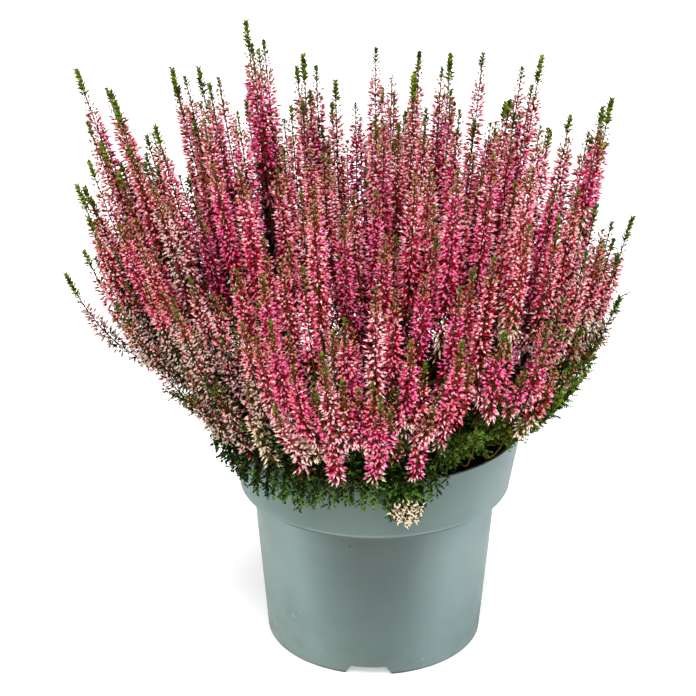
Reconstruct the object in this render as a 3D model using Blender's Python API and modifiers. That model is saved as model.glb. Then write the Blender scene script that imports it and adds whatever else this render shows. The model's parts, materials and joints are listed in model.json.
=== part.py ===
"""A potted heather in flower: a plastic nursery pot, its compost, a short woody stem,
boughs, masses of blossom spikes and a skirt of leafy sprays that spills over the rim.

Metres, +Z up. The pot stands on z = 0 with its axis on the Z axis. The crown leans a
little towards -X, and the side at -Y is the front.
"""

import math
import random

import bmesh
import bpy
from mathutils import Vector
from mathutils.kdtree import KDTree

# The pot, a 15 cm nursery pot with a wide collar
POT_HEIGHT = 0.1184
RIM_RADIUS = 0.075
COLLAR_FOOT_Z = 0.0852
COLLAR_FOOT_RADIUS = 0.0695
BODY_TOP_RADIUS = 0.0628
BASE_RADIUS = 0.0562
WALL = 0.0016
EDGE_ROUND = 0.0004
FOOT_HEIGHT = 0.0056
FOOT_WIDTH = 0.0018
PAD_RADIUS = 0.021
ROUND_SIDES = 36
SHARP_ANGLE = math.radians(30.0)
NOTCH_COUNT = 3
NOTCH_AZIMUTH = math.radians(-92.5)
NOTCH_TOP_WIDTH = 0.018
NOTCH_FOOT_WIDTH = 0.026
NOTCH_HEIGHT = 0.0048
NOTCH_DEPTH = 0.009
DRAIN_HOLES = 6
DRAIN_RADIUS = 0.004
DRAIN_SIDES = 10
DRAIN_RING_RADIUS = 0.038
CUT_PAST = 0.0012

# The air left between one piece and the next
CLEARANCE = 0.0003

# The compost that fills the pot, a little higher round the stem
FILL_Z = 0.1080
FILL_MOUND = 0.0020
FILL_FLAT_RADIUS = 0.012
FILL_SHOULDER = 0.6

# The woody stem, a short foot that swells at the ground and ends in a round head
HEAD_Z = 0.1160
HEAD_RADIUS = 0.0060
STEM_WAIST_RADIUS = 0.0054
WAIST_DROP = 0.0033
FLARE_RADIUS = 0.0085
FLARE_LOBES = 5
FLARE_LOBE_DEPTH = 0.14
STEM_LEAN = 0.0012
STEM_SIDES = 15
STEM_RINGS = (0.0, 0.3, 0.65, 1.0)
HEAD_RINGS = (-12.0, 15.0, 40.0, 65.0)

# Growth lines: every shoot follows the crown's own flow from the head to its tip. A line
# is named by its place in a flat disc, at its centre for the upright middle of the crown
# and at its edge, 1 from the centre, for the lowest outer shoots.
START_LEAN = math.radians(86.0)
START_POWER = 0.6
FINAL_LEAN = math.radians(17.0)
NEAR_BEND = 0.055
FAR_BEND = 0.120
BEND_POWER = 3
LINE_STEP = 0.004
SHORTEST_LINE = 0.05
OUTERMOST_PLACE = 1.05
PLACE_STEP = 0.002
DRIFT = 0.11
DEPTH = 0.80
SPREAD_FROM = 0.065
SPREAD_RUN = 0.075

# The crown's masses, one at the centre and two rings round it, counted from the front
FRONT = math.radians(-90.0)
INNER_MASSES = 5
INNER_PLACE = 0.42
OUTER_MASSES = 8
OUTER_PLACE = 0.87
BOUGH_FOOT_RADIUS = 0.0014
BOUGH_TIP_RADIUS = 0.0009
BOUGH_SIDES = 5
BOUGH_RUNS = 3
BOUGH_LENGTH = 0.034
BOUGH_LENGTH_BY_PLACE = 0.018

# The shoots: a disc filled by the sunflower rule, and a few leaders that make the outline
SHOOTS = 92
LOW_EVERY = 3
LOW_SHARE = 0.52
GOLDEN_ANGLE = math.pi * (3.0 - math.sqrt(5.0))
AZIMUTH_SPREAD = 0.06
SHOOT_SEED = 41
TOP_HEIGHT = 0.286
TOP_FALL = 0.022
MIDDLE_DIP = 0.020
MIDDLE_PLACE = 0.30
EDGE_PLACE = 0.72
EDGE_HEIGHT = 0.185
HEIGHT_SPREAD = 0.018
LEADERS = {
    "far left, low": (-0.156, 0.004, 0.195),
    "far left, middle": (-0.145, -0.012, 0.238),
    "far left, high": (-0.144, 0.006, 0.298),
    "left, second": (-0.125, -0.006, 0.285),
    "left, third": (-0.099, 0.010, 0.297),
    "left, fourth": (-0.084, -0.012, 0.304),
    "left, tallest": (-0.062, 0.000, 0.323),
    "middle, left": (-0.036, 0.008, 0.305),
    "middle, right": (0.018, -0.006, 0.300),
    "right, fourth": (0.036, 0.010, 0.304),
    "right, third": (0.078, 0.000, 0.306),
    "right, high": (0.112, -0.004, 0.288),
    "right, low": (0.127, 0.006, 0.225),
    "front, far left": (-0.046, -0.100, 0.212),
    "front, left": (-0.022, -0.106, 0.192),
    "front, middle": (-0.001, -0.108, 0.186),
    "front, right": (0.017, -0.102, 0.204),
    "front, far right": (0.040, -0.100, 0.203),
}
SPLIT_FIRST = 0.006
SPLIT_SPREAD = 0.022
SPLIT_RUN = 0.060
STEM_SPACE = 0.05

# Twigs and the blossom spikes round them
TWIG_RADIUS = 0.0008
TWIG_STEP = 0.034
STEM_STEP = 0.011
SPIKE_LENGTH = 0.098
SPIKE_RADIUS = 0.0060
SPIKE_SHAPE = (
    (0.10, 0.62),
    (0.24, 0.90),
    (0.38, 1.00),
    (0.52, 0.94),
    (0.66, 0.80),
    (0.80, 0.60),
    (0.92, 0.36),
)
SHOOT_SIDES = 3
UPRIGHT_REACH = 0.004
AXIS_SAMPLE = 0.001

# The leafy skirt, whose stems cross the compost and spill over the rim
SKIRT_MASSES = 8
SKIRT_START_LEAN = math.radians(101.0)
SKIRT_RISE = 0.0098
SKIRT_RISE_FROM = 0.028
SKIRT_RISE_RUN = 0.040
SKIRT_FAN = 0.86
SKIRT_FAN_FROM = 0.020
SKIRT_FAN_RUN = 0.050
SKIRT_STEM_SPLIT = 0.0065
SKIRT_SPLIT_FIRST = 0.018
SKIRT_SPLIT_SPREAD = 0.016
SKIRT_STEM_STEPS = 5
SKIRT_TWIG_STEPS = 2
SKIRT_SPRAYS = 7
SKIRT_STEM_SPRAY = 3
SKIRT_RUNS = 24
SKIRT_REACH = 0.093
SKIRT_REACH_SPREAD = 0.006
SKIRT_HIGH_REACH = 0.107
SKIRT_DRIFT = 0.06
SKIRT_NARROW = 0.09
SKIRT_LIFT = 0.022
SKIRT_LIFT_FROM = 0.058
SKIRT_DROOP = 0.019
SKIRT_LEAST_DROOP = 0.6
SKIRT_DROOP_FROM = 0.078
SKIRT_SEED = 7
SPRAY_LENGTH = 0.040
SPRAY_RADIUS = 0.0048
SPRAY_SHAPE = ((0.12, 0.65), (0.34, 1.00), (0.57, 0.90), (0.80, 0.60))

COLOURS = {
    "pot": ((0.19, 0.245, 0.240), 0.42),
    "compost": ((0.028, 0.018, 0.012), 0.95),
    "wood": ((0.085, 0.040, 0.026), 0.85),
    "blossom": ((0.46, 0.105, 0.155), 0.80),
    "leaf": ((0.085, 0.115, 0.030), 0.80),
}


def clear_scene():
    """Remove what the new scene starts with."""
    for thing in list(bpy.context.scene.objects):
        bpy.data.objects.remove(thing, do_unlink=True)


def new_collection(name):
    """Make a collection in the scene."""
    collection = bpy.data.collections.new(name)
    bpy.context.scene.collection.children.link(collection)
    return collection


def make_material(name):
    """Make a Principled material with the colour and roughness named in COLOURS."""
    colour, roughness = COLOURS[name]
    material = bpy.data.materials.new(name)
    material.use_nodes = True
    shader = material.node_tree.nodes["Principled BSDF"]
    shader.inputs["Base Color"].default_value = (*colour, 1.0)
    shader.inputs["Roughness"].default_value = roughness
    shader.inputs["Metallic"].default_value = 0.0
    material.diffuse_color = (*colour, 1.0)
    return material


def add_object(name, mesh, collection, material=None):
    """Put a mesh in a collection as an object of its own."""
    thing = bpy.data.objects.new(name, mesh)
    if material is not None:
        mesh.materials.clear()
        mesh.materials.append(material)
    collection.objects.link(thing)
    return thing


def mesh_from_bmesh(name, shape):
    """Turn a bmesh into a mesh with its faces pointing out."""
    bmesh.ops.recalc_face_normals(shape, faces=shape.faces)
    mesh = bpy.data.meshes.new(name)
    shape.to_mesh(mesh)
    shape.free()
    return mesh


def turned(name, profile, collection, material):
    """Turn a profile of (radius, height) points about the Z axis."""
    mesh = bpy.data.meshes.new(name)
    corners = [(radius, 0.0, height) for radius, height in profile]
    edges = [(index, index + 1) for index in range(len(corners) - 1)]
    mesh.from_pydata(corners, edges, [])
    thing = add_object(name, mesh, collection, material)
    screw = thing.modifiers.new("turn", "SCREW")
    screw.axis = "Z"
    screw.angle = math.tau
    screw.steps = ROUND_SIDES
    screw.render_steps = ROUND_SIDES
    screw.use_merge_vertices = True
    screw.merge_threshold = 0.00001
    screw.use_smooth_shade = True
    return thing


def smoothstep(value):
    """Ease from 0 to 1."""
    value = min(1.0, max(0.0, value))
    return value * value * (3.0 - 2.0 * value)


def ease_out(value):
    """Rise from 0 at once and settle at 1."""
    value = min(1.0, max(0.0, value))
    return value * (2.0 - value)


def body_radius(height):
    """The pot's outer radius at a height on its body, below the collar."""
    return BASE_RADIUS + (BODY_TOP_RADIUS - BASE_RADIUS) * height / COLLAR_FOOT_Z


def collar_radius(height):
    """The pot's outer radius at a height on its collar."""
    share = (height - COLLAR_FOOT_Z) / (POT_HEIGHT - COLLAR_FOOT_Z)
    return COLLAR_FOOT_RADIUS + (RIM_RADIUS - COLLAR_FOOT_RADIUS) * share


def pot_profile():
    """The pot's section, from the inside of its floor over the rim to its underside."""
    floor_top = FOOT_HEIGHT + WALL
    ledge = COLLAR_FOOT_Z + WALL
    rim_side = POT_HEIGHT - EDGE_ROUND
    inside = [
        (0.0, WALL),
        (PAD_RADIUS - WALL, WALL),
        (PAD_RADIUS, floor_top),
        (body_radius(floor_top) - WALL, floor_top),
        (body_radius(ledge) - WALL, ledge),
        (collar_radius(ledge) - WALL, ledge),
        (collar_radius(rim_side) - WALL, rim_side),
        (RIM_RADIUS - WALL + EDGE_ROUND, POT_HEIGHT),
    ]
    outside = [
        (RIM_RADIUS - EDGE_ROUND, POT_HEIGHT),
        (RIM_RADIUS, rim_side),
        (collar_radius(COLLAR_FOOT_Z + 3 * EDGE_ROUND), COLLAR_FOOT_Z + 3 * EDGE_ROUND),
        (COLLAR_FOOT_RADIUS - EDGE_ROUND, COLLAR_FOOT_Z + EDGE_ROUND),
        (COLLAR_FOOT_RADIUS - 3 * EDGE_ROUND, COLLAR_FOOT_Z),
        (BODY_TOP_RADIUS, COLLAR_FOOT_Z),
        (BASE_RADIUS, 2 * EDGE_ROUND),
        (BASE_RADIUS - 2 * EDGE_ROUND, 0.0),
    ]
    underside = [
        (BASE_RADIUS - FOOT_WIDTH, 0.0),
        (BASE_RADIUS - FOOT_WIDTH, FOOT_HEIGHT),
        (PAD_RADIUS + WALL, FOOT_HEIGHT),
        (PAD_RADIUS, 0.0),
        (0.0, 0.0),
    ]
    return inside + outside + underside


def add_notch_cutter(azimuth, cutters):
    """A wedge, wider at the bottom, that cuts a drainage notch through the pot's foot."""
    shape = bmesh.new()
    bmesh.ops.create_cube(shape, size=1.0)
    middle = BASE_RADIUS - FOOT_WIDTH / 2.0
    for corner in shape.verts:
        width = NOTCH_TOP_WIDTH if corner.co.z > 0 else NOTCH_FOOT_WIDTH
        along = middle + corner.co.x * NOTCH_DEPTH
        across = corner.co.y * width
        height = NOTCH_HEIGHT if corner.co.z > 0 else -CUT_PAST
        corner.co = Vector((along, across, height))
    notch = add_object("notch_cutter", mesh_from_bmesh("notch_cutter", shape), cutters)
    notch.rotation_euler.z = azimuth
    hide_cutter(notch)


def add_drain_cutter(azimuth, cutters):
    """A cylinder that cuts one drain hole through the pot's floor."""
    shape = bmesh.new()
    bmesh.ops.create_cone(
        shape,
        cap_ends=True,
        segments=DRAIN_SIDES,
        radius1=DRAIN_RADIUS,
        radius2=DRAIN_RADIUS,
        depth=WALL + 2.0 * CUT_PAST,
    )
    drain = add_object("drain_cutter", mesh_from_bmesh("drain_cutter", shape), cutters)
    drain.location = (
        DRAIN_RING_RADIUS * math.cos(azimuth),
        DRAIN_RING_RADIUS * math.sin(azimuth),
        FOOT_HEIGHT + WALL / 2.0,
    )
    hide_cutter(drain)


def hide_cutter(cutter):
    """Show a cutter as wires and leave it out of renders."""
    cutter.hide_render = True
    cutter.display_type = "WIRE"


def apply_and_smooth(thing):
    """Apply an object's modifiers and shade it smooth, but for its sharp corners."""
    bpy.context.view_layer.update()
    evaluated = thing.evaluated_get(bpy.context.evaluated_depsgraph_get())
    mesh = bpy.data.meshes.new_from_object(evaluated)
    thing.modifiers.clear()
    thing.data = mesh
    mesh.shade_smooth()
    mesh.set_sharp_from_angle(angle=SHARP_ANGLE)


def build_pot(parts, cutters, material):
    """The pot, with its drain holes and the notches in its foot."""
    pot = turned("pot", pot_profile(), parts, material)
    for index in range(NOTCH_COUNT):
        add_notch_cutter(NOTCH_AZIMUTH + index * math.tau / NOTCH_COUNT, cutters)
    for index in range(DRAIN_HOLES):
        add_drain_cutter(index * math.tau / DRAIN_HOLES, cutters)
    cut = pot.modifiers.new("drainage", "BOOLEAN")
    cut.operation = "DIFFERENCE"
    cut.operand_type = "COLLECTION"
    cut.collection = cutters
    apply_and_smooth(pot)


def build_compost(parts, material):
    """The compost, clear of the pot's wall, with a flat place for the stem's foot."""
    ledge = COLLAR_FOOT_Z + WALL + CLEARANCE
    bottom = FOOT_HEIGHT + WALL + CLEARANCE
    inset = WALL + 2.0 * CLEARANCE
    top = FILL_Z + FILL_MOUND
    profile = [
        (0.0, top),
        (FILL_FLAT_RADIUS, top),
        (FILL_SHOULDER * RIM_RADIUS, FILL_Z + FILL_SHOULDER * FILL_MOUND),
        (collar_radius(FILL_Z) - inset, FILL_Z),
        (collar_radius(ledge) - inset, ledge),
        (body_radius(ledge) - inset, ledge),
        (body_radius(bottom) - inset, bottom),
        (0.0, bottom),
    ]
    compost = turned("compost", profile, parts, material)
    apply_and_smooth(compost)


def loft(name, rings, foot, tip):
    """Skin a row of rings. A foot or tip that is a point closes that end as a cone."""
    shape = bmesh.new()
    rows = []
    for ring in rings:
        rows.append([shape.verts.new(corner) for corner in ring])
    sides = len(rows[0])
    for lower, upper in zip(rows, rows[1:]):
        for side in range(sides):
            after = (side + 1) % sides
            shape.faces.new((lower[side], lower[after], upper[side]))
            shape.faces.new((lower[after], upper[after], upper[side]))
    for end, row in ((foot, rows[0]), (tip, rows[-1])):
        if end is None:
            shape.faces.new(row)
            continue
        apex = shape.verts.new(end)
        for side in range(sides):
            shape.faces.new((row[side], row[(side + 1) % sides], apex))
    bmesh.ops.triangulate(shape, faces=[face for face in shape.faces if len(face.verts) > 4])
    return mesh_from_bmesh(name, shape)


def frames(points):
    """The point, the sideways direction and the upward direction at each point of a line."""
    sideways = Vector((-points[-1].y, points[-1].x, 0.0))
    if sideways.length < UPRIGHT_REACH:
        sideways = Vector((0.0, 1.0, 0.0))
    found = []
    for index, point in enumerate(points):
        before = points[max(0, index - 1)]
        after = points[min(len(points) - 1, index + 1)]
        along = (after - before).normalized()
        across = (sideways - along * sideways.dot(along)).normalized()
        found.append((point, across, along.cross(across)))
    return found


def ring_of(frame, radii, turn=0.0):
    """Corners round a point of a line, one for each radius."""
    point, across, upward = frame
    corners = []
    for index, radius in enumerate(radii):
        angle = turn + index * math.tau / len(radii)
        corners.append(point + across * (radius * math.cos(angle)) + upward * (radius * math.sin(angle)))
    return corners


def limb_mesh(name, points, foot_radius, tip_radius, sides):
    """A tapering limb along a line, with flat ends."""
    rings = []
    for index, frame in enumerate(frames(points)):
        share = index / (len(points) - 1)
        radius = foot_radius + (tip_radius - foot_radius) * share
        rings.append(ring_of(frame, [radius] * sides))
    return loft(name, rings, None, None)


def lean_at(place, distance):
    """How far a growth line leans from the vertical, at a distance along it."""
    start = START_LEAN * place**START_POWER
    final = FINAL_LEAN * place
    bend = NEAR_BEND + (FAR_BEND - NEAR_BEND) * place * place
    return final + (start - final) * math.exp(-((distance / bend) ** BEND_POWER))


def from_axis(azimuth, reach, height):
    """A point of the crown, which reaches further left than right, and least in depth."""
    share = smoothstep((reach - SPREAD_FROM) / SPREAD_RUN)
    side = math.cos(azimuth)
    side *= 1.0 - DRIFT * share * side
    depth = math.sin(azimuth) * (1.0 - (1.0 - DEPTH) * share)
    return Vector((reach * side, reach * depth, height))


def growth_point(disc, distance):
    """The point at a distance along the growth line of a place in the disc."""
    place = disc.length
    lean = lean_at(place, 0.0)
    foot = HEAD_RADIUS + CLEARANCE
    reach = foot * math.sin(lean)
    height = HEAD_Z + foot * math.cos(lean)
    steps = max(1, round(distance / LINE_STEP))
    step = distance / steps
    for index in range(steps):
        lean = lean_at(place, (index + 0.5) * step)
        reach += math.sin(lean) * step
        height += math.cos(lean) * step
    return from_axis(math.atan2(disc.y, disc.x), reach, height)


def length_to_height(disc, height):
    """The distance along a growth line at which it comes to a height."""
    distance = SHORTEST_LINE
    while growth_point(disc, distance).z < height:
        distance += LINE_STEP / 2.0
    return distance


def disc_place(place, azimuth):
    """A place in the disc, from its distance from the centre and its azimuth."""
    return Vector((place * math.cos(azimuth), place * math.sin(azimuth)))


def place_of_tip(side, depth, height):
    """The disc place whose growth line passes a point at the height of that point."""
    azimuth = math.atan2(depth / DEPTH, side)
    low = 0.0
    high = OUTERMOST_PLACE
    while high - low > PLACE_STEP:
        middle = (low + high) / 2.0
        disc = disc_place(middle, azimuth)
        passing = growth_point(disc, length_to_height(disc, height))
        if math.hypot(passing.x, passing.y) < math.hypot(side, depth):
            low = middle
        else:
            high = middle
    return disc_place(low, azimuth)


def mass_places():
    """The disc places of the masses' stems: the centre, the inner ring, the outer ring."""
    places = [Vector((0.0, 0.0))]
    for index in range(INNER_MASSES):
        places.append(disc_place(INNER_PLACE, FRONT + index * math.tau / INNER_MASSES))
    for index in range(OUTER_MASSES):
        places.append(disc_place(OUTER_PLACE, FRONT + index * math.tau / OUTER_MASSES))
    return places


def bough_length(place):
    """How far a bough runs before its mass takes over."""
    return BOUGH_LENGTH + BOUGH_LENGTH_BY_PLACE * place.length


def tip_height(place, dice):
    """The height of a shoot's tip: a wide low dome, dipped in the middle, that falls away at
    the crown's edge.
    """
    middle = TOP_HEIGHT - TOP_FALL * (place / EDGE_PLACE) ** 2
    middle -= MIDDLE_DIP * (1.0 - smoothstep(place / MIDDLE_PLACE))
    edge = smoothstep((place - EDGE_PLACE) / (1.0 - EDGE_PLACE))
    height = middle + (EDGE_HEIGHT - middle) * edge
    return height + dice.uniform(-HEIGHT_SPREAD, HEIGHT_SPREAD)


def crown_shoots():
    """Every side shoot of the crown: its place in the disc and the height of its tip."""
    dice = random.Random(SHOOT_SEED)
    shoots = []
    for side, depth, height in LEADERS.values():
        shoots.append((place_of_tip(side, depth, height), height))
    for index in range(SHOOTS):
        place = math.sqrt((index + 0.5) / SHOOTS)
        azimuth = index * GOLDEN_ANGLE + dice.uniform(-AZIMUTH_SPREAD, AZIMUTH_SPREAD)
        height = tip_height(place, dice)
        if index % LOW_EVERY == 0:
            height = max(POT_HEIGHT + LOW_SHARE * (height - POT_HEIGHT), EDGE_HEIGHT - HEIGHT_SPREAD)
        shoots.append((disc_place(place, azimuth), height))
    return shoots


def nearest(places, disc):
    """The number of the mass whose space holds a place in the disc."""
    return min(range(len(places)), key=lambda index: (places[index] - disc).length)


class Shoot:
    """One shoot of a mass: a bare twig that leaves the mass's stem, then a toothed spike."""

    def __init__(self, twig, spike, tooth_radii):
        self.points = twig + spike
        self.first_tooth = len(twig)
        self.radii = [TWIG_RADIUS] * len(twig) + tooth_radii


def blended_point(stem_place, own_place, split, distance):
    """A point of a side shoot, which leaves the stem's growth line for its own."""
    share = ease_out((distance - split) / SPLIT_RUN)
    return growth_point(stem_place.lerp(own_place, share), distance)


def shoot_of(stem_place, own_place, split, length, step=TWIG_STEP):
    """Lay out one shoot of the crown, its twig in runs of about a step each."""

    def at(distance):
        return blended_point(stem_place, own_place, split, distance)

    start = max(length - SPIKE_LENGTH, split + SPLIT_SPREAD / 2.0)
    count = max(1, round((start - split) / step))
    twig = [at(split + (start - split) * index / count) for index in range(count + 1)]
    spike = [at(start + (length - start) * mark) for mark, _ in SPIKE_SHAPE] + [at(length)]
    return Shoot(twig, spike, [SPIKE_RADIUS * share for _, share in SPIKE_SHAPE])


def crown_masses():
    """The shoots of every mass, the one that carries the stem first."""
    dice = random.Random(SHOOT_SEED + 1)
    places = mass_places()
    masses = []
    for place in places:
        start = bough_length(place) + CLEARANCE
        height = tip_height(place.length, dice)
        length = length_to_height(place, height)
        masses.append([shoot_of(place, place, start, length, STEM_STEP)])
    for place, height in crown_shoots():
        number = nearest(places, place)
        if (places[number] - place).length < STEM_SPACE:
            continue
        split = bough_length(places[number]) + SPLIT_FIRST + dice.uniform(0.0, SPLIT_SPREAD)
        length = length_to_height(place, height)
        masses[number].append(shoot_of(places[number], place, split, length))
    return masses


def skirt_point(azimuth, run, reach, lift, droop):
    """A point of the skirt: out over the compost, up over the rim and down outside it."""
    foot = HEAD_RADIUS + CLEARANCE
    height = HEAD_Z + foot * math.cos(SKIRT_START_LEAN)
    height += SKIRT_RISE * smoothstep((run - SKIRT_RISE_FROM) / SKIRT_RISE_RUN)
    height += lift * smoothstep((run - SKIRT_LIFT_FROM) / (reach - SKIRT_LIFT_FROM))
    over = max(0.0, run - SKIRT_DROOP_FROM) / (reach - SKIRT_DROOP_FROM)
    height -= droop * over * over
    return Vector((run * math.cos(azimuth), run * math.sin(azimuth), height))


def skirt_spray(azimuth, turn, split, reach, lift, droop, steps):
    """Lay out one leafy spray of the skirt, which fans out from its mass's stem."""

    def at(run):
        fan = ease_out((run - max(split, SKIRT_FAN_FROM)) / SKIRT_FAN_RUN)
        return skirt_point(azimuth + turn * fan, run, reach, lift * fan, droop)

    line = [at(split + (reach - split) * index / SKIRT_RUNS) for index in range(SKIRT_RUNS + 1)]
    whole = sum((after - before).length for before, after in zip(line, line[1:]))
    start = whole - SPRAY_LENGTH
    twig = [point_along(line, start * index / steps) for index in range(steps + 1)]
    spike = [point_along(line, start + SPRAY_LENGTH * mark) for mark, _ in SPRAY_SHAPE]
    return Shoot(twig, spike + [line[-1]], [SPRAY_RADIUS * share for _, share in SPRAY_SHAPE])


def point_along(line, distance):
    """The point at a distance along a line of points."""
    for before, after in zip(line, line[1:]):
        run = (after - before).length
        if distance <= run:
            return before.lerp(after, distance / run)
        distance -= run
    return line[-1]


def skirt_reach(azimuth, reach):
    """How far a spray reaches: less to the right, where the crown does too, and in depth."""
    return reach * (1.0 - SKIRT_DRIFT * math.cos(azimuth) - SKIRT_NARROW * math.sin(azimuth) ** 2)


def low_or_high_spray(azimuth, spray, dice):
    """One spray of a skirt mass: the even ones hang over the rim, the odd ones lift."""
    turn = SKIRT_FAN * math.pi / SKIRT_MASSES * (2.0 * spray / (SKIRT_SPRAYS - 1) - 1.0)
    split = SKIRT_STEM_SPLIT
    steps = SKIRT_STEM_STEPS
    if spray != SKIRT_STEM_SPRAY:
        split = SKIRT_SPLIT_FIRST + dice.uniform(0.0, SKIRT_SPLIT_SPREAD)
        steps = SKIRT_TWIG_STEPS
    spread = dice.uniform(-SKIRT_REACH_SPREAD, SKIRT_REACH_SPREAD)
    if spray % 2:
        reach = skirt_reach(azimuth, SKIRT_HIGH_REACH + spread)
        return skirt_spray(azimuth, turn, split, reach, SKIRT_LIFT, 0.0, steps)
    droop = SKIRT_DROOP * dice.uniform(SKIRT_LEAST_DROOP, 1.0)
    reach = skirt_reach(azimuth, SKIRT_REACH + spread)
    return skirt_spray(azimuth, turn, split, reach, 0.0, droop, steps)


def skirt_masses():
    """The sprays of every mass of the skirt, the one that carries the stem first."""
    dice = random.Random(SKIRT_SEED)
    masses = []
    for index in range(SKIRT_MASSES):
        azimuth = FRONT + (index + 0.5) * math.tau / SKIRT_MASSES
        sprays = [low_or_high_spray(azimuth, spray, dice) for spray in range(SKIRT_SPRAYS)]
        sprays.insert(0, sprays.pop(SKIRT_STEM_SPRAY))
        masses.append(sprays)
    return masses


def sampled(points):
    """Points no further apart than AXIS_SAMPLE along a line."""
    found = []
    for before, after in zip(points, points[1:]):
        steps = max(1, math.ceil((after - before).length / AXIS_SAMPLE))
        for index in range(steps):
            found.append(before.lerp(after, index / steps))
    found.append(points[-1])
    return found


def search_tree(points):
    """A tree that finds the nearest of some points."""
    tree = KDTree(len(points))
    for index, point in enumerate(points):
        tree.insert(point, index)
    tree.balance()
    return tree


def line_tree(lines):
    """A tree of the points along some lines."""
    return search_tree([point for line in lines for point in sampled(line)])


def rim_line():
    """Points round the pot's rim, which every shoot stays clear of."""
    height = POT_HEIGHT - 2.0 * WALL
    line = []
    for index in range(ROUND_SIDES + 1):
        azimuth = index * math.tau / ROUND_SIDES
        line.append(Vector((RIM_RADIUS * math.cos(azimuth), RIM_RADIUS * math.sin(azimuth), height)))
    return line


def room_round(points, own, trees):
    """Half the distance from a line to whatever is outside its own mass, less a gap."""
    others = [tree for owner, tree in enumerate(trees) if owner != own]
    distance = min(tree.find(point)[2] for tree in others for point in points)
    return (distance - AXIS_SAMPLE) / 2.0 - CLEARANCE


def keep_clear_shoots(masses, boughs):
    """Keep each mass's stem, then every shoot clear of other masses, the boughs and the rim."""
    trees = [line_tree([shoots[0].points]) for shoots in masses]
    trees.append(line_tree(boughs))
    trees.append(line_tree([rim_line()]))
    for own, shoots in enumerate(masses):
        kept = shoots[:1]
        for shoot in shoots[1:]:
            if room_round(sampled(shoot.points), own, trees) > TWIG_RADIUS:
                kept.append(shoot)
        shoots[:] = kept
        trees[own] = line_tree([shoot.points for shoot in kept])
    return trees


def narrow_spikes(masses, trees):
    """Narrow each ring of teeth to the room round it."""
    for own, shoots in enumerate(masses):
        for shoot in shoots:
            for index in range(shoot.first_tooth, len(shoot.radii)):
                stretch = sampled(shoot.points[index - 1 : index + 2])
                room = max(room_round(stretch, own, trees), TWIG_RADIUS)
                shoot.radii[index] = min(shoot.radii[index], room)


def join_mass(name, shoots, parts, material):
    """Join a mass's shoots into one closed body."""
    pieces = [shoot_mesh(f"{name}_{index:02d}", shoot) for index, shoot in enumerate(shoots)]
    union = bpy.data.collections.new(name + "_pieces")
    bpy.context.scene.collection.children.link(union)
    first = add_object(name + "_stem", pieces[0], parts)
    for index, mesh in enumerate(pieces[1:]):
        add_object(f"{name}_piece_{index:02d}", mesh, union)
    join = first.modifiers.new("join", "BOOLEAN")
    join.operation = "UNION"
    join.operand_type = "COLLECTION"
    join.collection = union
    join.solver = "MANIFOLD"
    bpy.context.view_layer.update()
    joined = bpy.data.meshes.new_from_object(first.evaluated_get(bpy.context.evaluated_depsgraph_get()))
    for thing in list(union.objects) + [first]:
        bpy.data.objects.remove(thing, do_unlink=True)
    bpy.data.collections.remove(union)
    keep_largest_body(joined)
    joined.name = name
    return add_object(name, joined, parts, material)


def keep_largest_body(mesh):
    """Drop loose scraps, and fill hollows by dropping the shells inside the body."""
    shape = bmesh.new()
    shape.from_mesh(mesh)
    unseen = set(shape.verts)
    groups = []
    while unseen:
        group = {unseen.pop()}
        edge_of_group = list(group)
        while edge_of_group:
            corner = edge_of_group.pop()
            for edge in corner.link_edges:
                other = edge.other_vert(corner)
                if other in unseen:
                    unseen.remove(other)
                    group.add(other)
                    edge_of_group.append(other)
        groups.append(group)
    groups.sort(key=len, reverse=True)
    scraps = [corner for group in groups[1:] for corner in group]
    bmesh.ops.delete(shape, geom=scraps, context="VERTS")
    shape.to_mesh(mesh)
    shape.free()


def shoot_mesh(name, shoot):
    """A three-sided twig and its spike, each ring of teeth turned by half a tooth."""
    rings = []
    for index, (frame, radius) in enumerate(zip(frames(shoot.points), shoot.radii)):
        turn = max(0, index - shoot.first_tooth + 1) * math.pi / SHOOT_SIDES
        rings.append(ring_of(frame, [radius] * SHOOT_SIDES, turn))
    return loft(name, rings, None, shoot.points[-1])


def build_stem(parts, material):
    """The woody stem: a flat cut on the compost, lobed root flare, waist and round head."""
    foot = FILL_Z + FILL_MOUND + CLEARANCE
    waist = HEAD_Z - WAIST_DROP
    rings = []
    for share in STEM_RINGS:
        height = foot + (waist - foot) * share
        flare = (1.0 - share) ** 2
        radius = STEM_WAIST_RADIUS + (FLARE_RADIUS - STEM_WAIST_RADIUS) * flare
        rings.append((height, radius, FLARE_LOBE_DEPTH * flare))
    for degrees in HEAD_RINGS:
        angle = math.radians(degrees)
        rings.append((HEAD_Z + HEAD_RADIUS * math.sin(angle), HEAD_RADIUS * math.cos(angle), 0.0))
    rows = []
    for height, radius, lobes in rings:
        lean = STEM_LEAN * (1.0 - smoothstep((height - foot) / (waist - foot)))
        centre = Vector((lean, 0.0, height))
        radii = []
        for side in range(STEM_SIDES):
            angle = side * math.tau / STEM_SIDES
            radii.append(radius * (1.0 + lobes * math.cos(FLARE_LOBES * angle)))
        frame = (centre, Vector((1.0, 0.0, 0.0)), Vector((0.0, 1.0, 0.0)))
        rows.append(ring_of(frame, radii))
    crest = Vector((0.0, 0.0, HEAD_Z + HEAD_RADIUS))
    add_object("stem", loft("stem", rows, None, crest), parts, material)


def bough_lines():
    """The line of each bough, from the stem's head to just short of its mass."""
    lines = []
    for place in mass_places():
        length = bough_length(place)
        lines.append([growth_point(place, length * index / BOUGH_RUNS) for index in range(BOUGH_RUNS + 1)])
    return lines


def build_boughs(parts, material):
    """One tapering bough for each mass of the crown."""
    for index, line in enumerate(bough_lines()):
        name = f"bough_{index + 1:02d}"
        mesh = limb_mesh(name, line, BOUGH_FOOT_RADIUS, BOUGH_TIP_RADIUS, BOUGH_SIDES)
        add_object(name, mesh, parts, material)


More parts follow.
